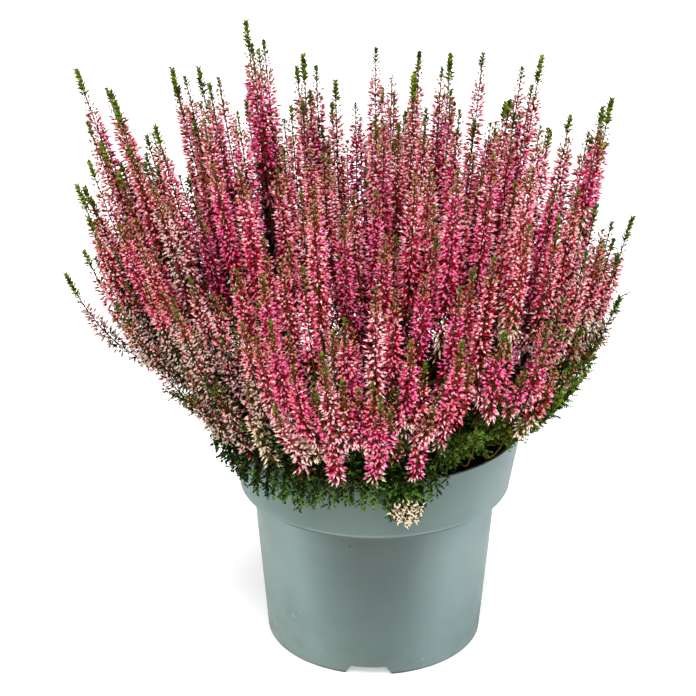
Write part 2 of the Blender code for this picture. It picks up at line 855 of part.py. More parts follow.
def build_foliage(parts, blossom, leaf):
    """The masses of blossom spikes and the masses of the leafy skirt."""
    crown = crown_masses()
    skirt = skirt_masses()
    trees = keep_clear_shoots(crown + skirt, bough_lines())
    narrow_spikes(crown + skirt, trees)
    for index, shoots in enumerate(crown):
        join_mass(f"blossom_mass_{index + 1:02d}", shoots, parts, blossom)
    for index, shoots in enumerate(skirt):
        join_mass(f"leaf_skirt_{index + 1:02d}", shoots, parts, leaf)


def main():
    """Build the pot and the plant in it."""
    clear_scene()
    parts = new_collection("potted_heather")
    cutters = new_collection("cutters")
    materials = {name: make_material(name) for name in COLOURS}
    build_pot(parts, cutters, materials["pot"])
    build_compost(parts, materials["compost"])
    build_stem(parts, materials["wood"])
    build_boughs(parts, materials["wood"])
    build_foliage(parts, materials["blossom"], materials["leaf"])


main()
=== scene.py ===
"""The looks of a potted heather in flower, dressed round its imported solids.

Metres, +Z up. The pot stands on z = 0 with its axis on the Z axis, and the photographed
side faces -Y. The crown and the leafy skirt grow again by the rule that their solids
follow, and are carried on to side shoots, twigs, buds and scale leaves. Every piece rides
on the part's one body.
"""

import json
import logging
import math
import random
from dataclasses import dataclass, field
from enum import Enum
from typing import Any, Optional, Sequence, Union

import bmesh
import bpy
import numpy as np
from mathutils import Matrix, Vector, noise

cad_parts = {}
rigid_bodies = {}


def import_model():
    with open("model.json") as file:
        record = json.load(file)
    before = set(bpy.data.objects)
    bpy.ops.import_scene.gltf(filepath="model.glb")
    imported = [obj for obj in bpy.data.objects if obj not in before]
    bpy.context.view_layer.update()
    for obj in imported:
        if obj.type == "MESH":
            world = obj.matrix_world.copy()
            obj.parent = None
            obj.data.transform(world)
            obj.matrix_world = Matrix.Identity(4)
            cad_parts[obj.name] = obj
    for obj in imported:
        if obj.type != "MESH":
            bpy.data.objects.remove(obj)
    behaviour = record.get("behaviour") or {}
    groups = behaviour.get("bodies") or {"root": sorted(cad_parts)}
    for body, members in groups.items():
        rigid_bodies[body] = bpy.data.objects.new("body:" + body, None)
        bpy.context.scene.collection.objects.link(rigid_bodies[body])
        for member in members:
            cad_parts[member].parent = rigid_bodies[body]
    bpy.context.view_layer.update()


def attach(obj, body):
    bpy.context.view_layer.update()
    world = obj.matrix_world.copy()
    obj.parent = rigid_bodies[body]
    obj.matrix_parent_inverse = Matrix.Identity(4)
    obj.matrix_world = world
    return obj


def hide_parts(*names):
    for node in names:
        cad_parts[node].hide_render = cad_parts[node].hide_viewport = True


LOG = logging.getLogger("potted_heather")
BODY = "root"
CLEARANCE = 0.0003
GOLDEN_ANGLE = math.pi * (3.0 - math.sqrt(5.0))
FRONT = math.radians(-90.0)
UP = np.array((0.0, 0.0, 1.0))

Colour = tuple[float, float, float]
Span = tuple[float, float]
Array = np.ndarray
Reading = Union[float, "Expression"]


def linear(red: int, green: int, blue: int) -> Colour:
    """Turn a colour of 0 to 255 a channel, as a screen shows it, into a linear one."""

    def channel(value: int) -> float:
        """Undo the screen's curve for one channel."""
        share = value / 255.0
        return share / 12.92 if share <= 0.04045 else ((share + 0.055) / 1.055) ** 2.4

    return channel(red), channel(green), channel(blue)


def smoothstep(value: Any) -> Any:
    """Ease from 0 to 1, for a number or an array."""
    clamped = np.clip(value, 0.0, 1.0)
    return clamped * clamped * (3.0 - 2.0 * clamped)


def rise(value: Any, start: Any, run: Any) -> Any:
    """Ease from 0 where a value is at the start to 1 where it is a run beyond."""
    return smoothstep((value - start) / run)


def fall(value: Any, start: Any, run: Any) -> Any:
    """Ease from 0 where a value is at the start to 1 where it is a run below."""
    return smoothstep((start - value) / run)


def ease_out(value: Any) -> Any:
    """Rise from 0 at once and settle at 1, for a number or an array."""
    clamped = np.clip(value, 0.0, 1.0)
    return clamped * (2.0 - clamped)


def unit(vectors: Array) -> Array:
    """Scale each row to a length of 1."""
    return vectors / np.maximum(np.linalg.norm(vectors, axis=-1, keepdims=True), 1e-9)


def disc_place(place: float, azimuth: float) -> Array:
    """A place in the crown's disc, from its distance from the centre and its azimuth."""
    return np.array((place * math.cos(azimuth), place * math.sin(azimuth)))


def leaning(along: Array, outward: Array, angles: Array) -> Array:
    """Directions turned by an angle each, from one direction towards another."""
    return along * np.cos(angles)[:, None] + outward * np.sin(angles)[:, None]


def band_faces(number: Array) -> list[Array]:
    """The faces between rings of corners, from the corners' numbers, ring by ring."""
    after = np.roll(number, -1, axis=1)
    low = np.stack((number[:-1], after[:-1], number[1:]), axis=-1).reshape(-1, 3)
    high = np.stack((after[:-1], after[1:], number[1:]), axis=-1).reshape(-1, 3)
    return [low, high]


def linked(name: str, data: Any) -> bpy.types.Object:
    """Make an object and link it to the scene."""
    thing = bpy.data.objects.new(name, data)
    bpy.context.scene.collection.objects.link(thing)
    return thing


class Expression:
    """A shader socket that adds a Math node for each operator used on it."""

    def __init__(self, shader: "NodeTree", socket: bpy.types.NodeSocket) -> None:
        """Wrap an output socket of a shader's tree."""
        self.shader = shader
        self.socket = socket

    def _math(self, operation: str, *values: Reading) -> "Expression":
        """Add a Math node over some values and wrap its result."""
        inputs = {index: value for index, value in enumerate(values)}
        return self.shader.node("ShaderNodeMath", {"operation": operation}, inputs).out()

    def __add__(self, other: Reading) -> "Expression":
        """This plus a value."""
        return self._math("ADD", self, other)

    def __sub__(self, other: Reading) -> "Expression":
        """This minus a value."""
        return self._math("SUBTRACT", self, other)

    def __rsub__(self, other: Reading) -> "Expression":
        """A value minus this."""
        return self._math("SUBTRACT", other, self)

    def __mul__(self, other: Reading) -> "Expression":
        """This times a value."""
        return self._math("MULTIPLY", self, other)

    __radd__ = __add__
    __rmul__ = __mul__

    def ramp(self, low: float, high: float) -> "Expression":
        """Rise smoothly from 0 at one value of this to 1 at another.

        Args:
            low: the value that gives 0.
            high: the value that gives 1. It may be the smaller one.

        Returns:
            The share between the two, eased.
        """
        settings = {"interpolation_type": "SMOOTHSTEP", "clamp": True}
        inputs = {"Value": self, "From Min": low, "From Max": high}
        return self.shader.node("ShaderNodeMapRange", settings, inputs).out("Result")


@dataclass
class Node:
    """A node of a shader's tree."""

    shader: "NodeTree"
    made: bpy.types.Node

    def out(self, name: Union[str, int] = 0) -> Expression:
        """Wrap one of the node's outputs."""
        return Expression(self.shader, self.made.outputs[name])


class NodeTree:
    """A tree of shader nodes that is written as expressions."""

    def __init__(self, tree: bpy.types.NodeTree) -> None:
        """Wrap a tree."""
        self.tree = tree

    def node(self, kind: str, settings: dict[str, Any], inputs: dict[Any, Any]) -> Node:
        """Add a node, set it up and feed it.

        Args:
            kind: the node's type.
            settings: the node's own properties, which are set first.
            inputs: a value or an Expression for each socket, by name or number.

        Returns:
            The new node.
        """
        made = self.tree.nodes.new(kind)
        for name, value in settings.items():
            setattr(made, name, value)
        for name, value in inputs.items():
            self.feed(made.inputs[name], value)
        return Node(self, made)

    def feed(self, socket: bpy.types.NodeSocket, value: Any) -> None:
        """Link an Expression to a socket, or set the socket's own value."""
        if isinstance(value, Expression):
            self.tree.links.new(value.socket, socket)
        elif isinstance(value, tuple) and len(socket.default_value) == 4:
            socket.default_value = (*value, 1.0)
        else:
            socket.default_value = value

    def place(self) -> Expression:
        """The place on the object, in metres."""
        return self.node("ShaderNodeTexCoord", {}, {}).out("Object")

    def stretched(self, place: Expression, scale: Colour) -> Expression:
        """A place scaled apart along each axis."""
        inputs = {0: place, 1: scale}
        return self.node("ShaderNodeVectorMath", {"operation": "MULTIPLY"}, inputs).out()

    def noise(self, place: Expression, scale: float, detail: float = 3.0) -> Expression:
        """Soft noise from 0 to 1, in cells of one over the scale."""
        inputs = {"Vector": place, "Scale": scale, "Detail": detail, "Roughness": 0.6}
        return self.node("ShaderNodeTexNoise", {}, inputs).out(0)

    def mix(self, share: Reading, first: Any, second: Any) -> Expression:
        """Blend two colours by a share of the second."""
        inputs = {"Factor": share, 6: first, 7: second}
        return self.node("ShaderNodeMix", {"data_type": "RGBA"}, inputs).out(2)


class Shader(NodeTree):
    """A material's node tree, built round its Principled BSDF."""

    def __init__(self, name: str) -> None:
        """Make the material with its Principled BSDF."""
        self.material = bpy.data.materials.new(name)
        self.material.use_nodes = True
        super().__init__(self.material.node_tree)
        self.surface = self.tree.nodes["Principled BSDF"]

    def surface_input(self, name: str, value: Any) -> None:
        """Set or link one input of the Principled BSDF."""
        self.feed(self.surface.inputs[name], value)

    def bump(self, height: Expression, distance: float, strength: float) -> None:
        """Feed a bump to the surface's normal.

        Args:
            height: the relief, from 0 to 1.
            distance: its depth in metres.
            strength: how much of it shows.
        """
        inputs = {"Height": height, "Distance": distance, "Strength": strength}
        self.surface_input("Normal", self.node("ShaderNodeBump", {}, inputs).out())


@dataclass(frozen=True)
class Mark:
    """A small spot on the pot: where it is, how far it reaches, and how much it shows."""

    place: Colour
    radius: float
    strength: float


@dataclass(frozen=True)
class PotPlastic:
    """Grey-blue moulded polypropylene, satin, with a little dust, dirt specks and scuffs, and painted shade
    on the collar's front, under its lip in front and along its foot.
    """

    colour: Colour = linear(112, 133, 132)
    cloudy: Colour = linear(105, 127, 127)
    # Painted shade: the darker colour laid on the front of the collar.
    painted_collar_shade: Colour = linear(66, 76, 70)
    dusty: Colour = linear(104, 114, 100)
    scuffed: Colour = linear(142, 152, 148)
    # The dirt of the specks, also used for the painted shadow line under the collar and the painted contact
    # shadow.
    grime_and_shade: Colour = linear(40, 44, 40)
    roughness: float = 0.42
    specular: float = 0.28
    # Painted shadow line under the collar's lip, in front only: its heights, then how far round the front it
    # reaches.
    painted_lip_shadow: Span = (0.0869, 0.0860)
    painted_lip_shadow_reach: Span = (-0.046, -0.064)
    # Painted contact shadow: a dark line along the pot's bottom edge.
    painted_contact_shadow: Span = (0.0018, 0.0005)
    # Painted shade on the collar's front: the heights over which it sets in, then how far round the front it
    # reaches.
    painted_collar_shade_foot: Span = (0.0860, 0.0885)
    painted_collar_shade_reach: Span = (-0.040, -0.074)
    specks: tuple[Mark, ...] = (
        Mark((-0.0119, -0.0610, 0.0770), 0.0008, 0.85),
        Mark((0.0097, -0.0613, 0.0760), 0.0006, 0.60),
        Mark((-0.0163, -0.0578, 0.0500), 0.0006, 0.55),
    )
    scuffs: tuple[Mark, ...] = (
        Mark((-0.0411, -0.0411, 0.0255), 0.0016, 0.55),
        Mark((-0.0374, -0.0450, 0.0300), 0.0010, 0.40),
        Mark((0.0253, -0.0507, 0.0065), 0.0014, 0.45),
    )

    def material(self) -> bpy.types.Material:
        """Make the finish."""
        shader = Shader("pot_plastic")
        place = shader.place()
        parts = shader.node("ShaderNodeSeparateXYZ", {}, {0: place})
        height = parts.out("Z")
        cloud = shader.noise(place, 26.0, 2.0).ramp(0.35, 0.68)
        scuff = shader.noise(shader.stretched(place, (1.0, 1.0, 5.0)), 260.0, 2.0).ramp(0.72, 0.82)
        dust = height.ramp(0.034, 0.002) * shader.noise(place, 90.0).ramp(0.40, 0.75)
        # Painted shadow line at the foot of the collar, in front only.
        painted_lip_shadow = height.ramp(*self.painted_lip_shadow) * parts.out("Y").ramp(*self.painted_lip_shadow_reach) * 0.75
        colour = shader.mix(cloud, self.colour, self.cloudy)
        colour = shader.mix(dust * 0.45, colour, self.dusty)
        # Painted shade on the front of the collar, from just above its foot upward.
        painted_collar_shade = height.ramp(*self.painted_collar_shade_foot) * parts.out("Y").ramp(*self.painted_collar_shade_reach)
        colour = shader.mix(painted_collar_shade * 0.60, colour, self.painted_collar_shade)
        colour = shader.mix(scuff * 0.22, colour, self.scuffed)
        for mark in self.scuffs:
            colour = shader.mix(self.spot(shader, place, mark), colour, self.scuffed)
        for mark in self.specks:
            colour = shader.mix(self.spot(shader, place, mark), colour, self.grime_and_shade)
        # The painted shadow line under the collar and the painted contact shadow at the foot, both in the
        # specks' dark colour.
        colour = shader.mix(painted_lip_shadow + height.ramp(*self.painted_contact_shadow) * 0.7, colour, self.grime_and_shade)
        shader.surface_input("Base Color", colour)
        shader.surface_input("Roughness", self.roughness + 0.10 * cloud + 0.16 * dust + 0.10 * scuff)
        shader.surface_input("Specular IOR Level", self.specular)
        shader.bump(shader.noise(place, 900.0, 2.0), 0.00012, 0.12)
        return shader.material

    def spot(self, shader: Shader, place: Expression, mark: Mark) -> Expression:
        """How much a mark shows at each place."""
        away = shader.node("ShaderNodeVectorMath", {"operation": "DISTANCE"}, {0: place, 1: mark.place})
        return away.out("Value").ramp(mark.radius, 0.4 * mark.radius) * mark.strength


@dataclass(frozen=True)
class PotInside:
    """The near-black colour of the pot's inside faces."""

    colour: Colour = linear(30, 35, 36)
    worn: Colour = linear(44, 50, 50)
    roughness: float = 0.5

    def material(self) -> bpy.types.Material:
        """Make the finish."""
        shader = Shader("pot_inside")
        wear = shader.noise(shader.place(), 160.0).ramp(0.45, 0.75)
        shader.surface_input("Base Color", shader.mix(wear, self.colour, self.worn))
        shader.surface_input("Roughness", self.roughness + 0.15 * wear)
        return shader.material


@dataclass(frozen=True)
class Peat:
    """Dark, moist, fibrous compost."""

    wet: Colour = linear(24, 17, 12)
    dry: Colour = linear(66, 47, 33)
    roughness: float = 0.88

    def material(self) -> bpy.types.Material:
        """Make the finish."""
        shader = Shader("peat")
        place = shader.place()
        grain = shader.noise(place, 520.0, 4.0)
        dryness = shader.noise(place, 95.0).ramp(0.42, 0.70) * 0.6 + grain.ramp(0.55, 0.75) * 0.4
        shader.surface_input("Base Color", shader.mix(dryness, self.wet, self.dry))
        shader.surface_input("Roughness", self.roughness)
        shader.bump(grain, 0.0008, 0.8)
        return shader.material


@dataclass(frozen=True)
class Bark:
    """Thin red-brown bark that flakes in strips along the wood."""

    dark: Colour = linear(52, 30, 22)
    warm: Colour = linear(112, 68, 46)
    grey: Colour = linear(120, 104, 90)
    roughness: float = 0.8

    def material(self) -> bpy.types.Material:
        """Make the finish."""
        shader = Shader("bark")
        place = shader.stretched(shader.place(), (1.0, 1.0, 0.22))
        strips = shader.noise(place, 1500.0, 3.0)
        grey = shader.noise(place, 420.0).ramp(0.55, 0.75)
        colour = shader.mix(strips.ramp(0.35, 0.65), self.dark, self.warm)
        shader.surface_input("Base Color", shader.mix(grey * 0.5, colour, self.grey))
        shader.surface_input("Roughness", self.roughness)
        shader.bump(strips, 0.0004, 0.7)
        return shader.material


@dataclass(frozen=True)
class PlainFinish:
    """The soft surface of one tint of bud, leaf or twig, dealt out by spray."""

    name: str
    colour: Colour
    roughness: float = 0.7
    specular: float = 0.05

    def material(self) -> bpy.types.Material:
        """Make the finish."""
        shader = Shader(self.name)
        shader.surface_input("Base Color", self.colour)
        shader.surface_input("Roughness", self.roughness)
        shader.surface_input("Specular IOR Level", self.specular)
        return shader.material


def plain_finishes(kind: str, colours: dict[str, tuple[int, int, int]]) -> tuple[PlainFinish, ...]:
    """The finishes of one kind, in the order of their tints, from colours of 0 to 255."""
    return tuple(PlainFinish(kind + name, linear(*colour)) for name, colour in colours.items())


class BudTint(Enum):
    """The tints of the flowering buds. Each has a body and a paler tip, which is partly painted highlight.
    """

    MAGENTA = 0
    ROSE = 1
    SALMON = 2
    BLUSH = 3
    FADED = 4
    CREAM = 5
    YOUNG = 6
    # Deep red buds, dealt more thickly low on the spikes, inside the crown and in front, where they also
    # stand for painted shade.
    DEEP = 7


class LeafTint(Enum):
    """The tints of the scale leaves."""

    BRIGHT = 0
    FRESH = 1
    MIDDLE = 2
    DEEP = 3
    # Painted shade: near-black, for leaves deep in the crown and on its shaded left.
    PAINTED_SHADE = 4
    BROWN = 5
    MOSS_LIGHT = 6
    MOSS = 7
    MOSS_DEEP = 8


BUD_BODIES = plain_finishes(
    "bud_",
    {
        "magenta": (216, 24, 86), "rose": (220, 38, 74), "salmon": (208, 46, 54),
        "blush": (204, 80, 92), "faded": (88, 60, 46), "cream": (200, 164, 128),
        "young": (114, 74, 38), "deep": (108, 0, 6),
    },
)
# The paler tips are partly the buds' own colour and partly painted highlight on their ends.
BUD_TIPS = plain_finishes(
    "tip_",
    {
        "magenta": (248, 110, 172), "rose": (250, 132, 168), "salmon": (250, 150, 162),
        "blush": (254, 206, 212), "faded": (214, 186, 172), "cream": (246, 228, 202),
        "young": (190, 130, 96), "deep": (164, 28, 52),
    },
)
LEAVES = plain_finishes(
    "",
    {
        "leaf_bright": (148, 162, 50), "leaf_fresh": (102, 122, 40), "leaf_middle": (64, 86, 28),
        # leaf_painted_shade is painted shade, near-black, dealt where the plant lies in shade.
        "leaf_deep": (36, 54, 16), "leaf_painted_shade": (30, 26, 10), "leaf_brown": (96, 80, 30),
        "moss_light": (100, 138, 58), "moss": (56, 92, 34), "moss_deep": (24, 46, 14),
    },
)
TWIG_BROWN = PlainFinish("twig_brown", linear(58, 30, 14), roughness=0.8)
TWIG_OLIVE = PlainFinish("twig_olive", linear(88, 66, 30), roughness=0.8)
PEAT_CRUMB = PlainFinish("peat_crumb", linear(46, 33, 24), roughness=0.95, specular=0.2)


@dataclass
class Shape:
    """Corners, three-cornered faces, and the number of each face's finish."""

    corners: Array
    faces: Array
    finishes: Array

    @staticmethod
    def joined(shapes: Sequence["Shape"]) -> "Shape":
        """Put several shapes into one."""
        offsets = np.cumsum([0] + [len(shape.corners) for shape in shapes[:-1]])
        faces = [shape.faces + offset for shape, offset in zip(shapes, offsets)]
        return Shape(
            np.concatenate([shape.corners for shape in shapes]),
            np.concatenate(faces),
            np.concatenate([shape.finishes for shape in shapes]),
        )

    def to_object(self, name: str, finishes: Sequence[PlainFinish]) -> bpy.types.Object:
        """Make an object of the shape, with a material slot for each finish that it uses.

        Args:
            name: the object's name.
            finishes: the finishes that the faces' numbers stand for.

        Returns:
            The object, linked to the scene.
        """
        mesh = bpy.data.meshes.new(name)
        mesh.vertices.add(len(self.corners))
        mesh.vertices.foreach_set("co", self.corners.astype(np.float32).ravel())
        mesh.loops.add(self.faces.size)
        mesh.loops.foreach_set("vertex_index", self.faces.astype(np.int32).ravel())
        mesh.polygons.add(len(self.faces))
        mesh.polygons.foreach_set("loop_start", np.arange(0, self.faces.size, 3, dtype=np.int32))
        used, numbers = np.unique(self.finishes, return_inverse=True)
        mesh.polygons.foreach_set("material_index", numbers.astype(np.int32).ravel())
        for number in used:
            mesh.materials.append(PALETTE.material(finishes[number]))
        mesh.update(calc_edges=True)
        mesh.shade_smooth()
        return linked(name, mesh)


class Palette:
    """The materials made so far, one for each finish."""

    def __init__(self) -> None:
        """Start with none."""
        self.made: dict[str, bpy.types.Material] = {}

    def material(self, finish: PlainFinish) -> bpy.types.Material:
        """The material of a plain finish, made when first asked for."""
        if finish.name not in self.made:
            self.made[finish.name] = finish.material()
        return self.made[finish.name]


PALETTE = Palette()


@dataclass(frozen=True)
class Pattern:
    """A small form, from (0, 0, 0) along +Z, one long and one wide, to be dealt out in numbers."""

    corners: Array
    faces: Array
    bands: Array

    def copies(
        self,
        feet: Array,
        along: Array,
        across: Array,
        lengths: Array,
        widths: Array,
        finishes: Array,
    ) -> Shape:
        """Lay out copies of the form.

        Args:
            feet: where each copy starts.
            along: the direction of each copy.
            across: a direction roughly at right angles to it.
            lengths: the length of each copy.
            widths: the width of each copy.
            finishes: the finish number of each band of each copy.

        Returns:
            All copies as one shape.
        """
        along = unit(along)
        across = unit(across - along * (across * along).sum(axis=1, keepdims=True))
        third = np.cross(along, across)
        local = self.corners
        corners = feet[:, None, :] + along[:, None, :] * (local[:, 2] * lengths[:, None])[:, :, None]
        corners = corners + across[:, None, :] * (local[:, 0] * widths[:, None])[:, :, None]
        corners = corners + third[:, None, :] * (local[:, 1] * widths[:, None])[:, :, None]
        offsets = np.arange(len(feet))[:, None, None] * len(local)
        faces = (self.faces[None, :, :] + offsets).reshape(-1, 3)
        return Shape(corners.reshape(-1, 3), faces, finishes[:, self.bands].reshape(-1))


def ring(count: int, radius: float, height: float, turn: float) -> list[tuple[float, float, float]]:
    """Corners round the Z axis."""
    angles = [turn + index * math.tau / count for index in range(count)]
    return [(radius * math.cos(angle), radius * math.sin(angle), height) for angle in angles]


def bud_pattern() -> Pattern:
    """A slim bud, widest at its middle, with a body and a pointed tip."""
    corners = [(0.0, 0.0, 0.0), *ring(3, 0.5, 0.50, 0.0), (0.0, 0.0, 1.0)]
    faces = [(0, 2, 1), (0, 3, 2), (0, 1, 3), (1, 2, 4), (2, 3, 4), (3, 1, 4)]
    return Pattern(np.array(corners), np.array(faces), np.array((0, 0, 0, 1, 1, 1)))


def leaf_pattern() -> Pattern:
    """A scale leaf: a kite folded along its keel, in two faces."""
    corners = [(0.0, 0.0, 0.0), (-0.5, 0.22, 0.48), (0.5, 0.22, 0.48), (0.0, -0.10, 1.0)]
    return Pattern(np.array(corners), np.array([(0, 3, 1), (0, 2, 3)]), np.zeros(2, dtype=int))


def twiglet_pattern() -> Pattern:
    """A thin straight twig that tapers to a point, open at its foot inside the parent twig."""
    corners = [*ring(3, 0.5, 0.0, 0.0), (0.0, 0.0, 1.0)]
    return Pattern(np.array(corners), np.array([(0, 1, 3), (1, 2, 3), (2, 0, 3)]), np.zeros(3, dtype=int))


BUD = bud_pattern()
LEAF = leaf_pattern()
TWIGLET = twiglet_pattern()


@dataclass
class Line:
    """A smooth run of points, with a direction and a sideways vector at each."""

    points: Array
    runs: Array = field(init=False)
    along: Array = field(init=False)
    across: Array = field(init=False)

    def __post_init__(self) -> None:
        """Work out the distances and the directions."""
        steps = np.linalg.norm(np.diff(self.points, axis=0), axis=1)
        self.runs = np.concatenate(([0.0], np.cumsum(steps)))
        self.along = unit(np.gradient(self.points, axis=0))
        sideways = np.array((-self.points[-1, 1], self.points[-1, 0], 0.0))
        if np.linalg.norm(sideways) < 0.004:
            sideways = np.array((0.0, 1.0, 0.0))
        self.across = unit(sideways - self.along * (self.along @ sideways)[:, None])

    @property
    def length(self) -> float:
        """The whole length."""
        return float(self.runs[-1])

    def at(self, distances: Array) -> tuple[Array, Array, Array]:
        """The point, the direction and the sideways vector at each distance."""

        def read(values: Array) -> Array:
            """Read a value along the line, axis by axis."""
            columns = [np.interp(distances, self.runs, values[:, axis]) for axis in range(3)]
            return np.stack(columns, axis=1)

        return read(self.points), unit(read(self.along)), unit(read(self.across))

    def round(self, distances: Array, turns: Array) -> tuple[Array, Array, Array]:
        """The point, the direction and an outward vector at a turn round the line."""
        points, along, across = self.at(distances)
        third = np.cross(along, across)
        return points, along, leaning(across, third, turns)

    def tube(self, radii: Array, sides: int, finish: int) -> Shape:
        """A tapering twig round the line, with a flat foot and a pointed end.

        Args:
            radii: the radius at each point but the last.
            sides: how many sides it has.
            finish: the number of its finish.

        Returns:
            The twig.
        """
        third = np.cross(self.along, self.across)
        angles = np.arange(sides) * math.tau / sides
        round_it = self.across[:-1, None, :] * np.cos(angles)[None, :, None]
        round_it = round_it + third[:-1, None, :] * np.sin(angles)[None, :, None]
        rings = self.points[:-1, None, :] + round_it * radii[:, None, None]
        rows = len(rings)
        corners = np.concatenate((rings.reshape(-1, 3), self.points[-1:]))
        number = np.arange(rows * sides).reshape(rows, sides)
        first, last = number[0], number[-1]
        tip = np.stack((last, np.roll(last, -1), np.full(sides, rows * sides)), axis=-1)
        foot = np.array([(first[0], first[side + 1], first[side]) for side in range(1, sides - 1)])
        faces = np.concatenate((*band_faces(number), tip, foot))
        return Shape(corners, faces, np.full(len(faces), finish))


@dataclass(frozen=True)
class CrownRule:
    """The flow that the crown's shoots follow out of the stem's head, and its spread."""

    head_height: float = 0.1160
    head_radius: float = 0.0060
    start_lean: float = math.radians(86.0)
    start_power: float = 0.6
    final_lean: float = math.radians(17.0)
    near_bend: float = 0.055
    far_bend: float = 0.120
    bend_power: int = 3
    drift: float = 0.11
    depth: float = 0.80
    spread_from: float = 0.065
    spread_run: float = 0.075
    steps: int = 60
    search_from: float = 0.05
    search_step: float = 0.002
    search_count: int = 190

    def lean(self, place: Array, distance: Array) -> Array:
        """How far a growth line leans from the vertical, at a distance along it."""
        start = self.start_lean * place**self.start_power
        final = self.final_lean * place
        bend = self.near_bend + (self.far_bend - self.near_bend) * place * place
        return final + (start - final) * np.exp(-((distance / bend) ** self.bend_power))

    def points(self, discs: Array, distances: Array) -> Array:
        """The point at a distance along the growth line of each place in the disc.

        Args:
            discs: the places, one in each row.
            distances: how far along its line each point lies.

        Returns:
            The points, one in each row.
        """
        place = np.linalg.norm(discs, axis=1)[:, None]
        middles = (np.arange(self.steps) + 0.5) / self.steps
        leans = self.lean(place, distances[:, None] * middles)
        first = self.lean(place[:, 0], np.zeros(len(place)))
        foot = self.head_radius + CLEARANCE
        step = distances / self.steps
        reach = foot * np.sin(first) + np.sin(leans).sum(axis=1) * step
        height = self.head_height + foot * np.cos(first) + np.cos(leans).sum(axis=1) * step
        azimuth = np.arctan2(discs[:, 1], discs[:, 0])
        share = rise(reach, self.spread_from, self.spread_run)
        side = np.cos(azimuth)
        side = side * (1.0 - self.drift * share * side)
        deep = np.sin(azimuth) * (1.0 - (1.0 - self.depth) * share)
        return np.stack((reach * side, reach * deep, height), axis=1)

    def length_to_height(self, disc: Array, height: float) -> float:
        """The distance along a growth line at which it comes to a height."""
        distances = self.search_from + self.search_step * np.arange(self.search_count)
        points = self.points(np.tile(disc, (self.search_count, 1)), distances)
        return float(distances[np.argmax(points[:, 2] >= height)])

    def place_of_tip(self, side: float, depth: float, height: float) -> Array:
        """The disc place whose growth line passes a point at the height of that point.

        Args:
            side: the point's place along X.
            depth: its place along Y.
            height: its height.

        Returns:
            The place, found by halving.
        """
        azimuth = math.atan2(depth / self.depth, side)
        low = 0.0
        high = 1.05
        while high - low > 0.002:
            middle = (low + high) / 2.0
            disc = disc_place(middle, azimuth)
            length = self.length_to_height(disc, height)
            passing = self.points(disc[None, :], np.array((length,)))[0]
            if math.hypot(passing[0], passing[1]) < math.hypot(side, depth):
                low = middle
            else:
                high = middle
        return disc_place(low, azimuth)


class Order(Enum):
    """How a shoot of the crown comes off the one before it."""

    STEM = "carries its mass"
    MAIN = "leaves its mass's stem"
    LEADER = "leaves its mass's stem and makes the outline"
    LONE = "is a leader that stands apart, with no shoots beside it"
    LOW = "leaves its mass's stem and stays low"
    GAP = "leaves its mass's stem and closes a gap between others"
    SIDE = "leaves another shoot"


@dataclass
class Shoot:
    """One flowering shoot, from where it leaves its parent to its green tip."""

    rule: CrownRule
    order: Order
    mass: int
    foot: Array
    offset: Array
    split: float
    run: float
    length: float
    parent: Optional["Shoot"] = None

    def discs(self, distances: Array) -> Array:
        """The place in the disc at each distance: the parent's, then more and more its own."""
        share = ease_out((distances - self.split) / self.run)
        if self.parent is None:
            base = np.tile(self.foot, (len(distances), 1))
        else:
            base = self.parent.discs(distances)
        return base + self.offset * share[:, None]

    def line(self, spacing: float) -> Line:
        """The shoot's line, in steps of about the spacing."""
        count = max(4, round((self.length - self.split) / spacing))
        distances = np.linspace(self.split, self.length, count + 1)
        return Line(self.rule.points(self.discs(distances), distances))

    @property
    def place(self) -> Array:
        """Its own place in the disc."""
        return self.discs(np.array((self.length,)))[0]


LONE_LEADER = "far left, low"
LEADERS = {
    "far left, low": (-0.156, 0.004, 0.195),
    "far left, middle": (-0.145, -0.012, 0.246),
    "far left, high": (-0.144, 0.006, 0.298),
    "left, second": (-0.125, -0.006, 0.285),
    "left, third": (-0.099, 0.010, 0.297),
    "left, fourth": (-0.084, -0.012, 0.304),
    "left, tallest": (-0.062, 0.000, 0.323),
    "middle, left": (-0.036, 0.008, 0.305),
    "middle, right": (0.018, -0.006, 0.300),
    "right, fourth": (0.036, 0.010, 0.304),
    "right, third": (0.078, 0.000, 0.306),
    "right, high": (0.112, -0.004, 0.288),
    "right, low": (0.127, 0.006, 0.225),
    "front, far left": (-0.046, -0.100, 0.212),
    "front, left": (-0.022, -0.106, 0.192),
    "front, middle": (-0.001, -0.108, 0.186),
    "front, right": (0.017, -0.102, 0.204),
    "front, far right": (0.040, -0.100, 0.203),
}

# The tips of shoots that close gaps in the crown. The solids don't have these.
GAP_TIPS = (
    (-0.133, -0.004, 0.264), (-0.124, -0.010, 0.250), (-0.116, -0.006, 0.256),
    (0.108, -0.006, 0.266), (-0.143, -0.012, 0.212), (-0.128, -0.014, 0.214),
    (-0.088, -0.055, 0.215), (-0.078, -0.062, 0.210), (-0.138, -0.008, 0.236),
    (-0.120, -0.020, 0.232), (0.040, -0.020, 0.200), (0.092, -0.018, 0.192),
    (0.088, -0.010, 0.230), (0.042, 0.022, 0.262), (0.020, -0.060, 0.200),
    (-0.138, -0.010, 0.256), (-0.141, -0.010, 0.244), (0.107, -0.008, 0.237),
    (-0.022, -0.020, 0.214), (0.033, -0.028, 0.200), (-0.092, 0.000, 0.246),
    (-0.086, -0.020, 0.236), (-0.006, 0.020, 0.244), (0.031, -0.040, 0.196),
    (0.073, -0.030, 0.185), (-0.057, 0.000, 0.253),
)


